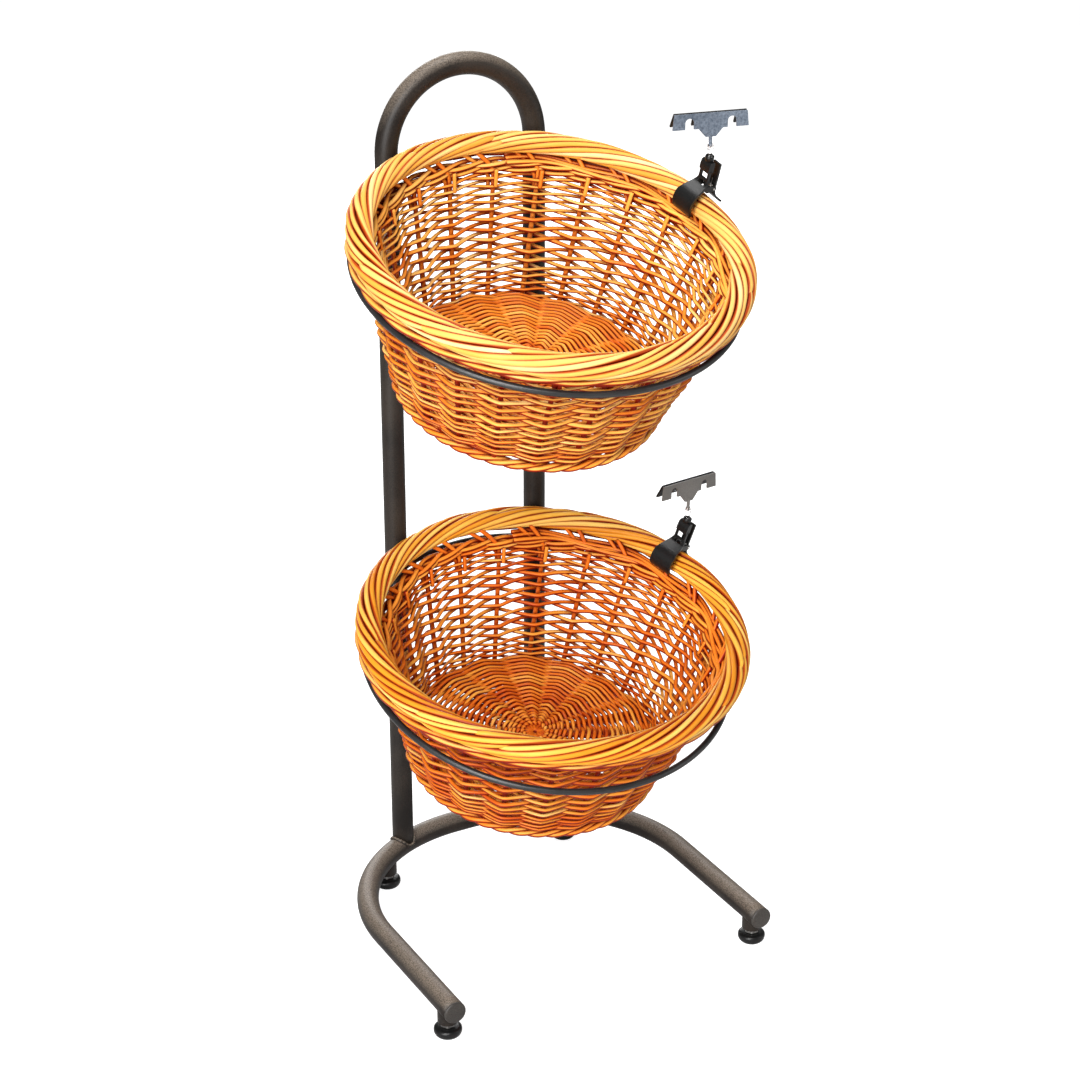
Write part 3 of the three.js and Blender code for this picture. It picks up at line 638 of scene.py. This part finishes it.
def spun(name, profile, place, axis, material, sides=48):
    rings = [round_path(radius, full_turn(sides), height) for radius, height in np.array(profile) * MM]
    turn = Vector(UP).rotation_difference(Vector(axis)).to_matrix()
    points = np.concatenate(rings) @ np.array(turn).T + np.array(place)
    faces = ring_faces(len(profile), sides)
    mesh = bpy.data.meshes.new(name)
    mesh.from_pydata(points.tolist(), [], faces)
    mesh.polygons.foreach_set("use_smooth", [True] * (len(faces) - 2) + [False, False])
    mesh.materials.append(material)
    obj = bpy.data.objects.new(name, mesh)
    round_edges(obj, 0.0005, 3, 35)
    return obj


for end in ("front_left", "front_right", "rear_left", "rear_right"):
    low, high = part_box(end + "_foot_pad")
    spot = ((low.x + high.x) / 2, (low.y + high.y) / 2, 0)
    body = end + "_foot"
    pad = spun(end + "_pad_moulding", PAD, spot, UP, black_moulding)
    settle(pad, body, [end + "_foot_pad"])
    collar = spun(end + "_socket_collar", SOCKET, spot, UP, powder_coat)
    settle(collar, "frame", [end + "_foot_socket"])
    stud = spun(end + "_stud_thread", THREAD, spot, UP, plated_steel, 24)
    settle(stud, body, [end + "_foot_stud"])
for word, arm_x in (("left", left_arm), ("right", right_arm)):
    plug = spun(word + "_plug_moulding", PLUG, (arm_x, base_low.y, BASE_Z), (0, -1, 0), plug_moulding)
    settle(plug, "frame", [word + "_end_plug"])
print("feet and plugs turned")

# %% [markdown]
# A basket starts with its side. Each row is a pair of thin rods twisted round each other: at every
# stake one passes inside and the other outside, and they swap over in the space between. That is
# what leaves the small openings beside each stake. The rows lie closer near the top and foot;
# where they are wider apart the rods also swing further in and out, because nothing presses them
# flat. Slow random waves keep any two rods from being alike.

# %% Woven rows
STAKES = 22
ROW_STEPS = STAKES * 12
WALL_TOP, WALL_FOOT = 0.0132, 0.155
WALL_TOP_R, WALL_TAPER = 0.1660, 0.0412
CORNER = 0.985
LEAST_SWING, MOST_SWING = 0.0044, 0.0070
THINNEST_ROD, THICKEST_ROD = 0.0016, 0.0021


def wall_radius(depth):
    return WALL_TOP_R - WALL_TAPER * (depth - WALL_TOP) / (WALL_FOOT - WALL_TOP)


def wander(rng, steps, size, waves=7):
    angle = full_turn(steps)
    total = np.zeros(steps)
    for wave in range(1, waves + 1):
        total += rng.gauss(0, 1) * np.sin(wave * angle + rng.uniform(0, 6.28)) / math.sqrt(waves)
    return size * total


def zigzag(phase):
    return np.arcsin(CORNER * np.cos(phase)) / math.asin(CORNER)


def fair_tone(tone):
    return np.clip(tone, 0.02, 0.98)


def twisted_pair(rods, rng, depth, gap, tone):
    swing = min(max(0.70 * gap, LEAST_SWING), MOST_SWING)
    rod_r = min(max(0.21 * gap, THINNEST_ROD), THICKEST_ROD)
    rise = 0.14 * gap
    angle = full_turn(ROW_STEPS)
    sag = wander(rng, ROW_STEPS, 0.0009, 9)
    shade = wander(rng, ROW_STEPS, 0.14, 15)
    for start in (0, math.pi):
        phase = angle * STAKES / 2 + start
        down = depth + sag + wander(rng, ROW_STEPS, 0.0004, 15) - rise * np.sin(phase)
        radius = wall_radius(depth) + swing * zigzag(phase) + wander(rng, ROW_STEPS, 0.0005, 11)
        size = rod_r * (1 + wander(rng, ROW_STEPS, 0.10, 15))
        bright = fair_tone(tone + rng.uniform(-0.24, 0.24) + shade)
        rods.add(round_path(radius, angle, -down), size, UP, bright, closed=True)


print("row helper: stakes", STAKES)

# %% [markdown]
# The stakes stand round the wall and lean into the border at the top. Beside each one a second rod
# runs from the upper rows into the border, and a short cut end shows inside, as where a weaver has
# pushed in a new stake.

# %% Basket sides
STAKE_FOOT, STAKE_KNEE, STAKE_TOP = 0.1535, 0.022, 0.003
STAKE_R = np.linspace(0.0027, 0.0023, 52)
PARTNER_R, CUT_END_R = 0.0022, 0.0021


def upright(rods, turn, down, inward, size, tone):
    facing = round_path(-1, turn, 0)
    rods.add(round_path(wall_radius(down) - inward, turn, -down), size, facing, tone)


def bent_over(down, start, reach):
    return np.clip((start - down) / reach, 0, 1)


def basket_side(rng, tone, depths):
    rods = RodMesh()
    for depth, gap in zip(depths, np.gradient(np.array(depths))):
        twisted_pair(rods, rng, depth + rng.uniform(-0.0004, 0.0004), gap, tone)
    for angle in full_turn(STAKES):
        lean = 0.10 + rng.uniform(-0.02, 0.04)
        down = np.linspace(STAKE_FOOT, STAKE_KNEE, 40)
        down = np.concatenate([down, np.linspace(STAKE_KNEE - 0.0015, STAKE_TOP, 12)])
        bend = bent_over(down, 0.026, 0.023)
        turn = angle + lean * bend ** 1.5 + rng.uniform(-0.008, 0.008)
        upright(rods, turn, down, -0.004 * bend ** 2, STAKE_R, tone - 0.26 + rng.uniform(-0.12, 0.12))
        down = np.linspace(0.040, 0.002, 18)
        bend = bent_over(down, 0.030, 0.028)
        turn = angle + 0.02 + (lean + 0.08) * bend ** 1.3
        inward = -0.002 - 0.005 * bend ** 2
        upright(rods, turn, down, inward, PARTNER_R, tone - 0.16 + rng.uniform(-0.12, 0.12))
        down = np.linspace(0.036, 0.0185 + rng.uniform(-0.002, 0.003), 8)
        turn = np.full(8, angle - 0.012)
        upright(rods, turn, down, 0.0058, CUT_END_R, tone - 0.16 + rng.uniform(-0.1, 0.2))
    return rods


print("stakes run from", STAKE_FOOT, "to", STAKE_TOP, "m below the rim")

# %% [markdown]
# Under the border, two close rows of three twisted rods bind the stakes. They bulge a little at
# the front and back, where they sit in the hoop, and stand clear of it at the sides. A thicker
# rope of three follows the border's outer edge from below, and on the right a few loose rods fill
# the space under the border.

# %% Wale rows
STRANDS = 3
WALE_DEPTHS, WALE_R = (0.0180, 0.0226), 0.0023
WALE_SWING, WALE_RISE, WALE_BULGE = 0.0052, 0.0019, 0.0030
ROPE_R, ROPE_SIDE_R, ROPE_TURNS = 0.0028, 0.0005, 9
LOOSE_RODS = ((0.0128, 0.0068), (0.0136, 0.0026), (0.0150, -0.0012))


def strand_phases(angle, turns):
    return [angle * turns + strand * 2 * np.pi / STRANDS for strand in range(STRANDS)]


def wale_rows(rng, tone, rim_r):
    rods = RodMesh()
    angle = full_turn(ROW_STEPS)
    at_sides = np.cos(angle) ** 2
    for phase in strand_phases(angle, ROPE_TURNS):
        radius = rim_r + 0.0035 + 0.0024 * at_sides + 0.0030 * np.cos(phase)
        down = 0.0118 + 0.0030 * at_sides - 0.0026 * np.sin(phase)
        bright = fair_tone(tone + 0.22 + rng.uniform(-0.1, 0.1))
        size = ROPE_R + ROPE_SIDE_R * at_sides
        rods.add(round_path(radius, angle, -down), size, UP, bright, closed=True)
    part = np.linspace(-1.25, 1.35, 110)
    for depth, out_by in LOOSE_RODS:
        radius = wall_radius(depth) + out_by + 0.0022 * np.cos(part * STAKES / 2 + depth * 900)
        path = round_path(radius, part, -depth - 0.0008 * np.sin(part * 9))
        rods.add(path, WALE_R, UP, fair_tone(tone - 0.06 + rng.uniform(-0.12, 0.12)))
    bulge = 0.0010 + WALE_BULGE * np.abs(np.sin(angle)) ** 1.5
    for depth in WALE_DEPTHS:
        sag = wander(rng, ROW_STEPS, 0.0008)
        for phase in strand_phases(angle, STAKES / 2):
            radius = wall_radius(depth) + bulge + WALE_SWING * np.cos(phase)
            down = depth + sag - WALE_RISE * np.sin(phase)
            bright = tone + 0.08 + rng.uniform(-0.15, 0.15)
            bright = fair_tone(bright + wander(rng, ROW_STEPS, 0.08))
            rods.add(round_path(radius, angle, -down), WALE_R, UP, bright, closed=True)
    return rods


print("wale helper ready")

# %% [markdown]
# The floor is woven the same way, but flat: sticks run out from a bound cross in the middle, and
# twisted pairs run round them. It rises a little towards the centre so that the basket stands on
# its rim, and a rope of three rods finishes the foot.

# %% Basket floor
FLOOR_STICKS = 16
STICK_R, FLOOR_ROD_R, FOOT_ROD_R = 0.0026, 0.00195, 0.0027
FLOOR_DEPTH, FLOOR_RISE, FLOOR_R = 0.1452, 0.0080, 0.122
FIRST_ROUND_R, LAST_ROUND_R, STICK_END_R = 0.0125, 0.1240, 0.1275
CLOSE_PITCH, FLOOR_PITCH, CLOSE_R = 0.0045, 0.0062, 0.03
FLOOR_SWING = 0.0042
FOOT_ROPE_R, FOOT_ROPE_DEPTH, FOOT_ROPE_TURNS, FOOT_ROPE_STEPS = 0.1262, 0.1540, 15, 480


def floor_depth(radius):
    return FLOOR_DEPTH - FLOOR_RISE * (1 - (radius / FLOOR_R) ** 2)


def basket_floor(rng, tone):
    rods = RodMesh()
    reach = np.linspace(0.002, STICK_END_R, 30)
    for angle in full_turn(FLOOR_STICKS):
        bright = tone - 0.1 + rng.uniform(-0.15, 0.15)
        rods.add(round_path(reach, angle, -floor_depth(reach)), STICK_R, UP, bright)
    steps = FLOOR_STICKS * 10
    angle = full_turn(steps)
    radius, rounds = FIRST_ROUND_R, 0
    while radius < LAST_ROUND_R:
        shade = wander(rng, steps, 0.12)
        for start in (0, math.pi):
            phase = angle * FLOOR_STICKS / 2 + start
            ring = radius + 0.0012 * np.sin(phase) + wander(rng, steps, 0.0004)
            down = floor_depth(ring) - FLOOR_SWING * zigzag(phase)
            bright = fair_tone(tone + rng.uniform(-0.2, 0.2) + shade)
            rods.add(round_path(ring, angle, -down), FLOOR_ROD_R, UP, bright, closed=True)
        radius += FLOOR_PITCH if radius > CLOSE_R else CLOSE_PITCH
        rounds += 1
    angle = full_turn(FOOT_ROPE_STEPS)
    for phase in strand_phases(angle, FOOT_ROPE_TURNS):
        ring = FOOT_ROPE_R + 0.0028 * np.cos(phase)
        down = FOOT_ROPE_DEPTH - 0.0024 * np.sin(phase)
        bright = tone + 0.15 + rng.uniform(-0.1, 0.1)
        bright = fair_tone(bright + wander(rng, FOOT_ROPE_STEPS, 0.1))
        rods.add(round_path(ring, angle, -down), FOOT_ROD_R, UP, bright, closed=True)
    return rods, rounds


print("floor helper ready")

# %% [markdown]
# The rolled border is what the eye meets first. The stakes' long ends are laid round the rim one
# over another, so each rod climbs from the outside over the top to the inside as it runs round.
# One long spiral round an oval core gives all their places; it is cut into rods of a hand's reach
# or two, thick at the butt and thin at the tip, whose ends slip under their neighbours.

# %% Basket border
BORDER_RODS = 11
BORDER_TURNS = 3 + 7 / BORDER_RODS
BORDER_HALF_WIDTH, BORDER_HALF_HEIGHT = 0.0131, 0.0107
BORDER_LEAN = math.radians(-14.3)
BORDER_REACH, BORDER_SIDES = 1.9, 12
BUTT_R, TIP_THINNER, CORE_R = 0.0033, 0.0006, 0.0055
TIP_SHARE, BUTT_SHARE, TUCK_IN = 0.07, 0.03, 0.0022
SWAYS = 7


def border_point(rim_r, angle, section, inset):
    x = (BORDER_HALF_WIDTH - inset) * np.cos(section)
    z = (BORDER_HALF_HEIGHT - inset) * np.sin(section)
    out_by = x * math.cos(BORDER_LEAN) - z * math.sin(BORDER_LEAN)
    up_by = x * math.sin(BORDER_LEAN) + z * math.cos(BORDER_LEAN)
    return round_path(rim_r + out_by, angle, up_by), round_path(out_by, angle, up_by)


def unsteady(rng, share, low, high):
    return np.interp(share, np.linspace(0, 1, SWAYS), [rng.uniform(low, high) for _ in range(SWAYS)])


def basket_border(rng, rim_r, tone):
    rods = RodMesh()
    total = 2 * np.pi * BORDER_RODS
    place = 0.0
    while place < total - 0.2:
        span = min(BORDER_REACH * rng.uniform(0.8, 1.2), total - place)
        steps = int(span * 60)
        angle = np.linspace(place - 0.03, place + span + 0.05, steps)
        share = np.linspace(0, 1, steps)
        rod_r = BUTT_R - TIP_THINNER * share + rng.uniform(-0.0004, 0.0003)
        tail = np.clip((1 - share) / TIP_SHARE, 0, 1) ** 0.5 * np.clip(share / BUTT_SHARE, 0, 1) ** 0.5
        section = BORDER_TURNS * angle + unsteady(rng, share, -0.12, 0.12)
        inset = rod_r + unsteady(rng, share, -0.0007, 0.0009) + TUCK_IN * (1 - tail)
        points, away = border_point(rim_r, angle, section, inset)
        bright = fair_tone(tone + rng.uniform(-0.30, 0.30) + 0.12 * (share - 0.5))
        rods.add(points, rod_r * (0.45 + 0.55 * tail), away, bright, sides=BORDER_SIDES)
        place += span
    angle = full_turn(160)
    core, _ = border_point(rim_r, angle, angle * 0, BORDER_HALF_WIDTH)
    rods.add(core, CORE_R, UP, 0.0, closed=True, sides=BORDER_SIDES)
    return rods


print("border rods:", BORDER_RODS, "side by side,", round(BORDER_TURNS, 2), "turns each")

# %% [markdown]
# Both baskets come from the same helpers, with their own rows, in millimetres below the rim. They
# sit as hand work does: the lower one is a shade browner and wider, not quite round, and set with
# its front a little up.

# %% Two baskets
UPPER_ROWS = [
    28.7, 35.8, 43.2, 50.2, 58.2, 67.4, 77.2, 87.2, 97.4, 107.0, 115.8, 123.8, 131.0, 137.6, 143.6,
]
LOWER_ROWS = [27.6, 34.1, 41.2, 50.0, 60.6, 71.6, 82.8, 94.4, 105.6, 115.8, 124.6, 132.2, 138.8, 144.6]
BASKETS = {
    "upper": {
        "seed": 11, "rows": UPPER_ROWS, "rim_r": 0.1765, "border": 0.58, "weave": 0.52, "floor": 0.30,
        "aside": 0.0005, "back": 0.0, "lift": 0.0006,
        "droop": -0.3, "nod": 0.4, "narrow": 1.0, "front": 0.0,
    },
    "lower": {
        "seed": 29, "rows": LOWER_ROWS, "rim_r": 0.1825, "border": 0.56, "weave": 0.50, "floor": 0.38,
        "aside": 0.0040, "back": 0.002, "lift": 0.0050,
        "droop": 0.0, "nod": -1.6, "narrow": 0.96, "front": 0.0075,
    },
}
RAISED_FROM, RAISED_DEPTH = 0.012, 0.05


def basket_matrix(tier, make):
    droop = Matrix.Rotation(math.radians(make["droop"]), 4, "Y")
    nod = Matrix.Rotation(math.radians(make["nod"]), 4, "X")
    spot = Matrix.Translation((make["aside"], make["back"], RIM_ABOVE_HOOP + make["lift"]))
    return tier_matrix(tier) @ spot @ droop @ nod @ Matrix.Diagonal((1, make["narrow"], 1, 1))


def raise_front(rods, rise):
    for points in rods.points:
        front = np.clip(-points[:, 1] / np.hypot(points[:, 0], points[:, 1]), 0, 1) ** 1.6
        near_top = np.clip(1 - (-points[:, 2] - RAISED_FROM) / RAISED_DEPTH, 0, 1)
        points[:, 2] += rise * front * near_top
    return rods


for tier, make in BASKETS.items():
    rng = random.Random(make["seed"])
    place = basket_matrix(tier, make)
    body = tier + "_basket"
    weave = weave_willow[tier]
    side = raise_front(basket_side(rng, make["weave"], [MM * row for row in make["rows"]]), make["front"])
    side.piece(tier + "_side_weave", weave, body, "willow", [tier + "_basket_wall"], place)
    wale = raise_front(wale_rows(rng, make["weave"], make["rim_r"]), make["front"])
    wale.piece(tier + "_wale_weave", weave, body, "willow", [tier + "_basket_wale"], place)
    bottom, rounds = basket_floor(rng, make["floor"])
    bottom.piece(tier + "_floor_weave", weave, body, "willow", [tier + "_basket_floor"], place)
    border = raise_front(basket_border(rng, make["rim_r"], make["border"]), make["front"])
    border.piece(
        tier + "_border_rods", border_willow[tier], body, "pale_willow", [tier + "_basket_border"], place,
    )
    print(tier, "basket:", len(make["rows"]), "rows,", rounds, "floor rounds,", border.rods, "border rods")

# %% [markdown]
# The clamp's two arms are curved mouldings, drawn in millimetres in the clip's own plane. A line of
# points there is rounded by cutting its corners three times. The strip along the inner line is a
# grid of faces, so that its two windows are simply faces left out.

# %% Clip arm strip
ARM_LINE = [
    (-1.5, 41), (-1.5, 28), (-4, 24.8), (-9.5, 22), (-15.8, 19),
    (-20.5, 14.5), (-22.3, 8.5), (-21.7, 2.8), (-19.5, -1),
]
ARM_WIDTH = ([-5, 16, 25, 30.5, 50], [12.5, 12.5, 8.5, 6.5, 6.5])
ARM_HALF_THICK = 1.5
STEM_OUT, STEM_TOP, STEM_FOOT, STEM_STEPS = -1.5, 41, 30, 14
WINDOWS, WINDOW_HALF = ((31, 38), (24.5, 28.5)), 4.5


def rounded(points, passes=3):
    points = np.asarray(points, float)
    for _ in range(passes):
        near = 0.75 * points[:-1] + 0.25 * points[1:]
        far = 0.25 * points[:-1] + 0.75 * points[1:]
        points = np.concatenate([points[:1], np.stack([near, far], 1).reshape(-1, 2), points[-1:]])
    return points


def sideways(line):
    ahead = unit(np.gradient(line, axis=0))
    return np.stack([-ahead[:, 1], ahead[:, 0]], 1)


def arm_strip():
    line = rounded(ARM_LINE)
    stem = np.linspace((STEM_OUT, STEM_TOP), (STEM_OUT, STEM_FOOT), STEM_STEPS)
    line = np.concatenate([stem, line[line[:, 1] < STEM_FOOT - 0.4]])
    half = np.interp(line[:, 1], *ARM_WIDTH)
    window = np.full(len(half), WINDOW_HALF)
    across = np.stack([-half, -window, half * 0, window, half], 1)
    points, faces = [], []
    for face in (-1, 1):
        for (out, up), (dx, dz), row in zip(line, sideways(line) * ARM_HALF_THICK, across):
            points += [(out + face * dx, y, up + face * dz) for y in row]
    sheet = len(line) * 5
    solid = np.ones((len(line) - 1, 4), bool)
    middle = (line[:-1, 1] + line[1:, 1]) / 2
    for low, high in WINDOWS:
        solid[(middle > low) & (middle < high), 1:3] = False
    padded = np.pad(solid, 1)
    for i, j in np.argwhere(solid):
        a, b = i * 5 + j, (i + 1) * 5 + j
        faces += [[a, a + 1, b + 1, b], [sheet + b, sheet + b + 1, sheet + a + 1, sheet + a]]
        rims = {(0, -1): (b, a), (0, 1): (a + 1, b + 1), (-1, 0): (a, a + 1), (1, 0): (b + 1, b)}
        for (di, dj), (p, q) in rims.items():
            if not padded[i + 1 + di, j + 1 + dj]:
                faces.append([q, p, sheet + p, sheet + q])
    return points, faces


print("arm strip helper ready")

# %% [markdown]
# The head, the ball cup and the lugs for the pin join the inner strip's mesh. The outer line
# carries a plain ribbon with one knuckle on the pin. A bevel modifier rounds the edges of both.

# %% Clip arms
CLIPS = {
    "upper": {"angle": 9.5, "lean": 2.0, "rim_r": 0.176, "aside": 0.0},
    "lower": {"angle": 20.0, "lean": 12.0, "rim_r": 0.178, "aside": 0.0045},
}
HEAD = [(2, 39), (2, 48.8), (1, 50), (-2.8, 50), (-4.2, 48.6), (-4.9, 43), (-4.5, 39)]
HEAD_HALF, LUG_EDGE = 6.5, 8.5
PIN_OUT, PIN_UP, LUG_R = 7, 21, 2.7
CUP_OUT, CUP_SIDES = -1, 20
CUP = [(2.6, 48.4), (3.9, 49.4), (4.4, 51.4), (4.4, 54.4), (4.0, 54.9), (3.2, 54.7), (3.1, 53)]
OUTER_LINE = [(11.6, 45), (11.6, 24), (11.6, 17), (12.6, 12.5), (16, 8), (20.5, 4.6), (24.6, 1.5)]
LEVER_THICK, LEVER_HALF, KNUCKLE_FROM = 2.2, 5, 0.6


def clip_matrix(tier):
    make = CLIPS[tier]
    turn = math.radians(make["angle"])
    spot = (make["aside"] + make["rim_r"] * math.cos(turn), make["rim_r"] * math.sin(turn), RIM_ABOVE_HOOP)
    facing = Matrix.Rotation(turn, 4, "Z") @ Matrix.Rotation(math.radians(make["lean"]), 4, "Y")
    return tier_matrix(tier) @ Matrix.Translation(spot) @ facing


def slab(outline, low, high):
    count = len(outline)
    points = [(out, y, up) for y in (low, high) for out, up in outline]
    faces = [list(range(count)), [2 * count - 1 - k for k in range(count)]]
    for k in range(count):
        n = (k + 1) % count
        faces.append([n, k, count + k, count + n])
    return points, faces


def ribbon(line, thickness, half):
    points, faces = [], []
    for (out, up), (dx, dz) in zip(line, sideways(line) * thickness / 2):
        points += [(out - dx, -half, up - dz), (out + dx, -half, up + dz)]
        points += [(out + dx, half, up + dz), (out - dx, half, up - dz)]
    for i in range(0, len(points) - 4, 4):
        for k in range(4):
            n = (k + 1) % 4
            faces.append([i + k, i + 4 + k, i + 4 + n, i + n])
    end = len(points) - 4
    faces += [[0, 1, 2, 3], [end + 3, end + 2, end + 1, end]]
    return points, faces


def round_the_pin(start, end):
    turns = np.radians(np.arange(start, end + 1, 15))
    return [(PIN_OUT + LUG_R * math.cos(a), PIN_UP + LUG_R * math.sin(a)) for a in turns]


def inner_arm_parts():
    lug = [(-5, 23.2), (-5, 20.5), (-2, 18.3)] + round_the_pin(-90, 90) + [(2, 25), (-3, 25)]
    lugs = [slab(lug, -LUG_EDGE, -HEAD_HALF), slab(lug, HEAD_HALF, LUG_EDGE)]
    around = full_turn(CUP_SIDES)
    cup = [(CUP_OUT + r * math.cos(a), r * math.sin(a), z) for r, z in CUP for a in around]
    return [arm_strip(), slab(HEAD, -HEAD_HALF, HEAD_HALF), *lugs, (cup, ring_faces(len(CUP), CUP_SIDES))]


def outer_arm_parts():
    knuckle = [(11, 18.6), (11, 23.4)] + round_the_pin(90, 270)
    lever = ribbon(rounded(OUTER_LINE), LEVER_THICK, LEVER_HALF)
    return [lever, slab(knuckle, KNUCKLE_FROM, LEVER_HALF)]


def moulding(name, parts, tier, body, stands_for):
    points, faces = [], []
    for more_points, more_faces in parts:
        faces += [[len(points) + k for k in face] for face in more_faces]
        points += more_points
    mesh = bpy.data.meshes.new(name)
    place = clip_matrix(tier)
    mesh.from_pydata([place @ (Vector(p) * MM) for p in points], [], faces)
    mesh.polygons.foreach_set("use_smooth", [True] * len(faces))
    mesh.materials.append(black_moulding)
    obj = bpy.data.objects.new(name, mesh)
    round_edges(obj, 0.0006, 3, 40).harden_normals = True
    return settle(obj, body, [stands_for])


for tier in TIERS:
    clip = tier + "_clip"
    outer_body = clip + "_outer_arm_body"
    arm = moulding(clip + "_arm_moulding", inner_arm_parts(), tier, tier + "_basket", clip + "_inner_arm")
    lever = moulding(clip + "_lever_moulding", outer_arm_parts(), tier, outer_body, clip + "_outer_arm")
    print(arm.name, "with", len(arm.data.polygons), "faces,", lever.name, "with", len(lever.data.polygons))

# %% [markdown]
# The other clip pieces and the foot nuts keep the shapes of their solids. A weld of double points
# and a small round on every hard edge make them catch the light like real mouldings and steel, and
# each gets its own finish.

# %% Sign clips and small steel
FINISH_OF_ENDING = {
    "_pivot_pin": plated_steel,
    "_swivel_link": clear_moulding,
    "_hinge_pin": plated_steel,
    "_back_leaf": black_moulding,
    "_foot_nut": plated_steel,
    "upper_clip_gripper_front_leaf": grey_leaf,
    "lower_clip_gripper_front_leaf": brown_leaf,
}
DOUBLE_POINTS = 0.00002


def paint(obj, material):
    obj.data.materials.clear()
    obj.data.materials.append(material)


dressed = 0
for name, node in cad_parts.items():
    for ending, material in FINISH_OF_ENDING.items():
        if name.endswith(ending):
            paint(node, material)
            node.modifiers.new("join_points", "WELD").merge_threshold = DOUBLE_POINTS
            round_edges(node, 0.0004, 2, 28)
            dressed += 1
print("solids with new finishes:", dressed)

# %% [markdown]
# The torsion spring hidden in each clip winds up as its lever is squeezed. A stiff spring would
# poke its outer leg through the lever. Here the solid spring is hidden, and a plated copy of its
# wire takes its place, fixed where it stands.

for tier in TIERS:
    clip = tier + "_clip"
    solid_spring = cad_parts[clip + "_spring"]
    wire = bpy.data.objects.new(clip + "_spring_wire", solid_spring.data.copy())
    wire.matrix_world = solid_spring.matrix_world.copy()
    paint(wire, plated_steel)
    scene.collection.objects.link(wire)
    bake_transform(wire)
    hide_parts(clip + "_spring")
    print(wire.name, "with", len(wire.data.vertices), "points bends across the hinge")
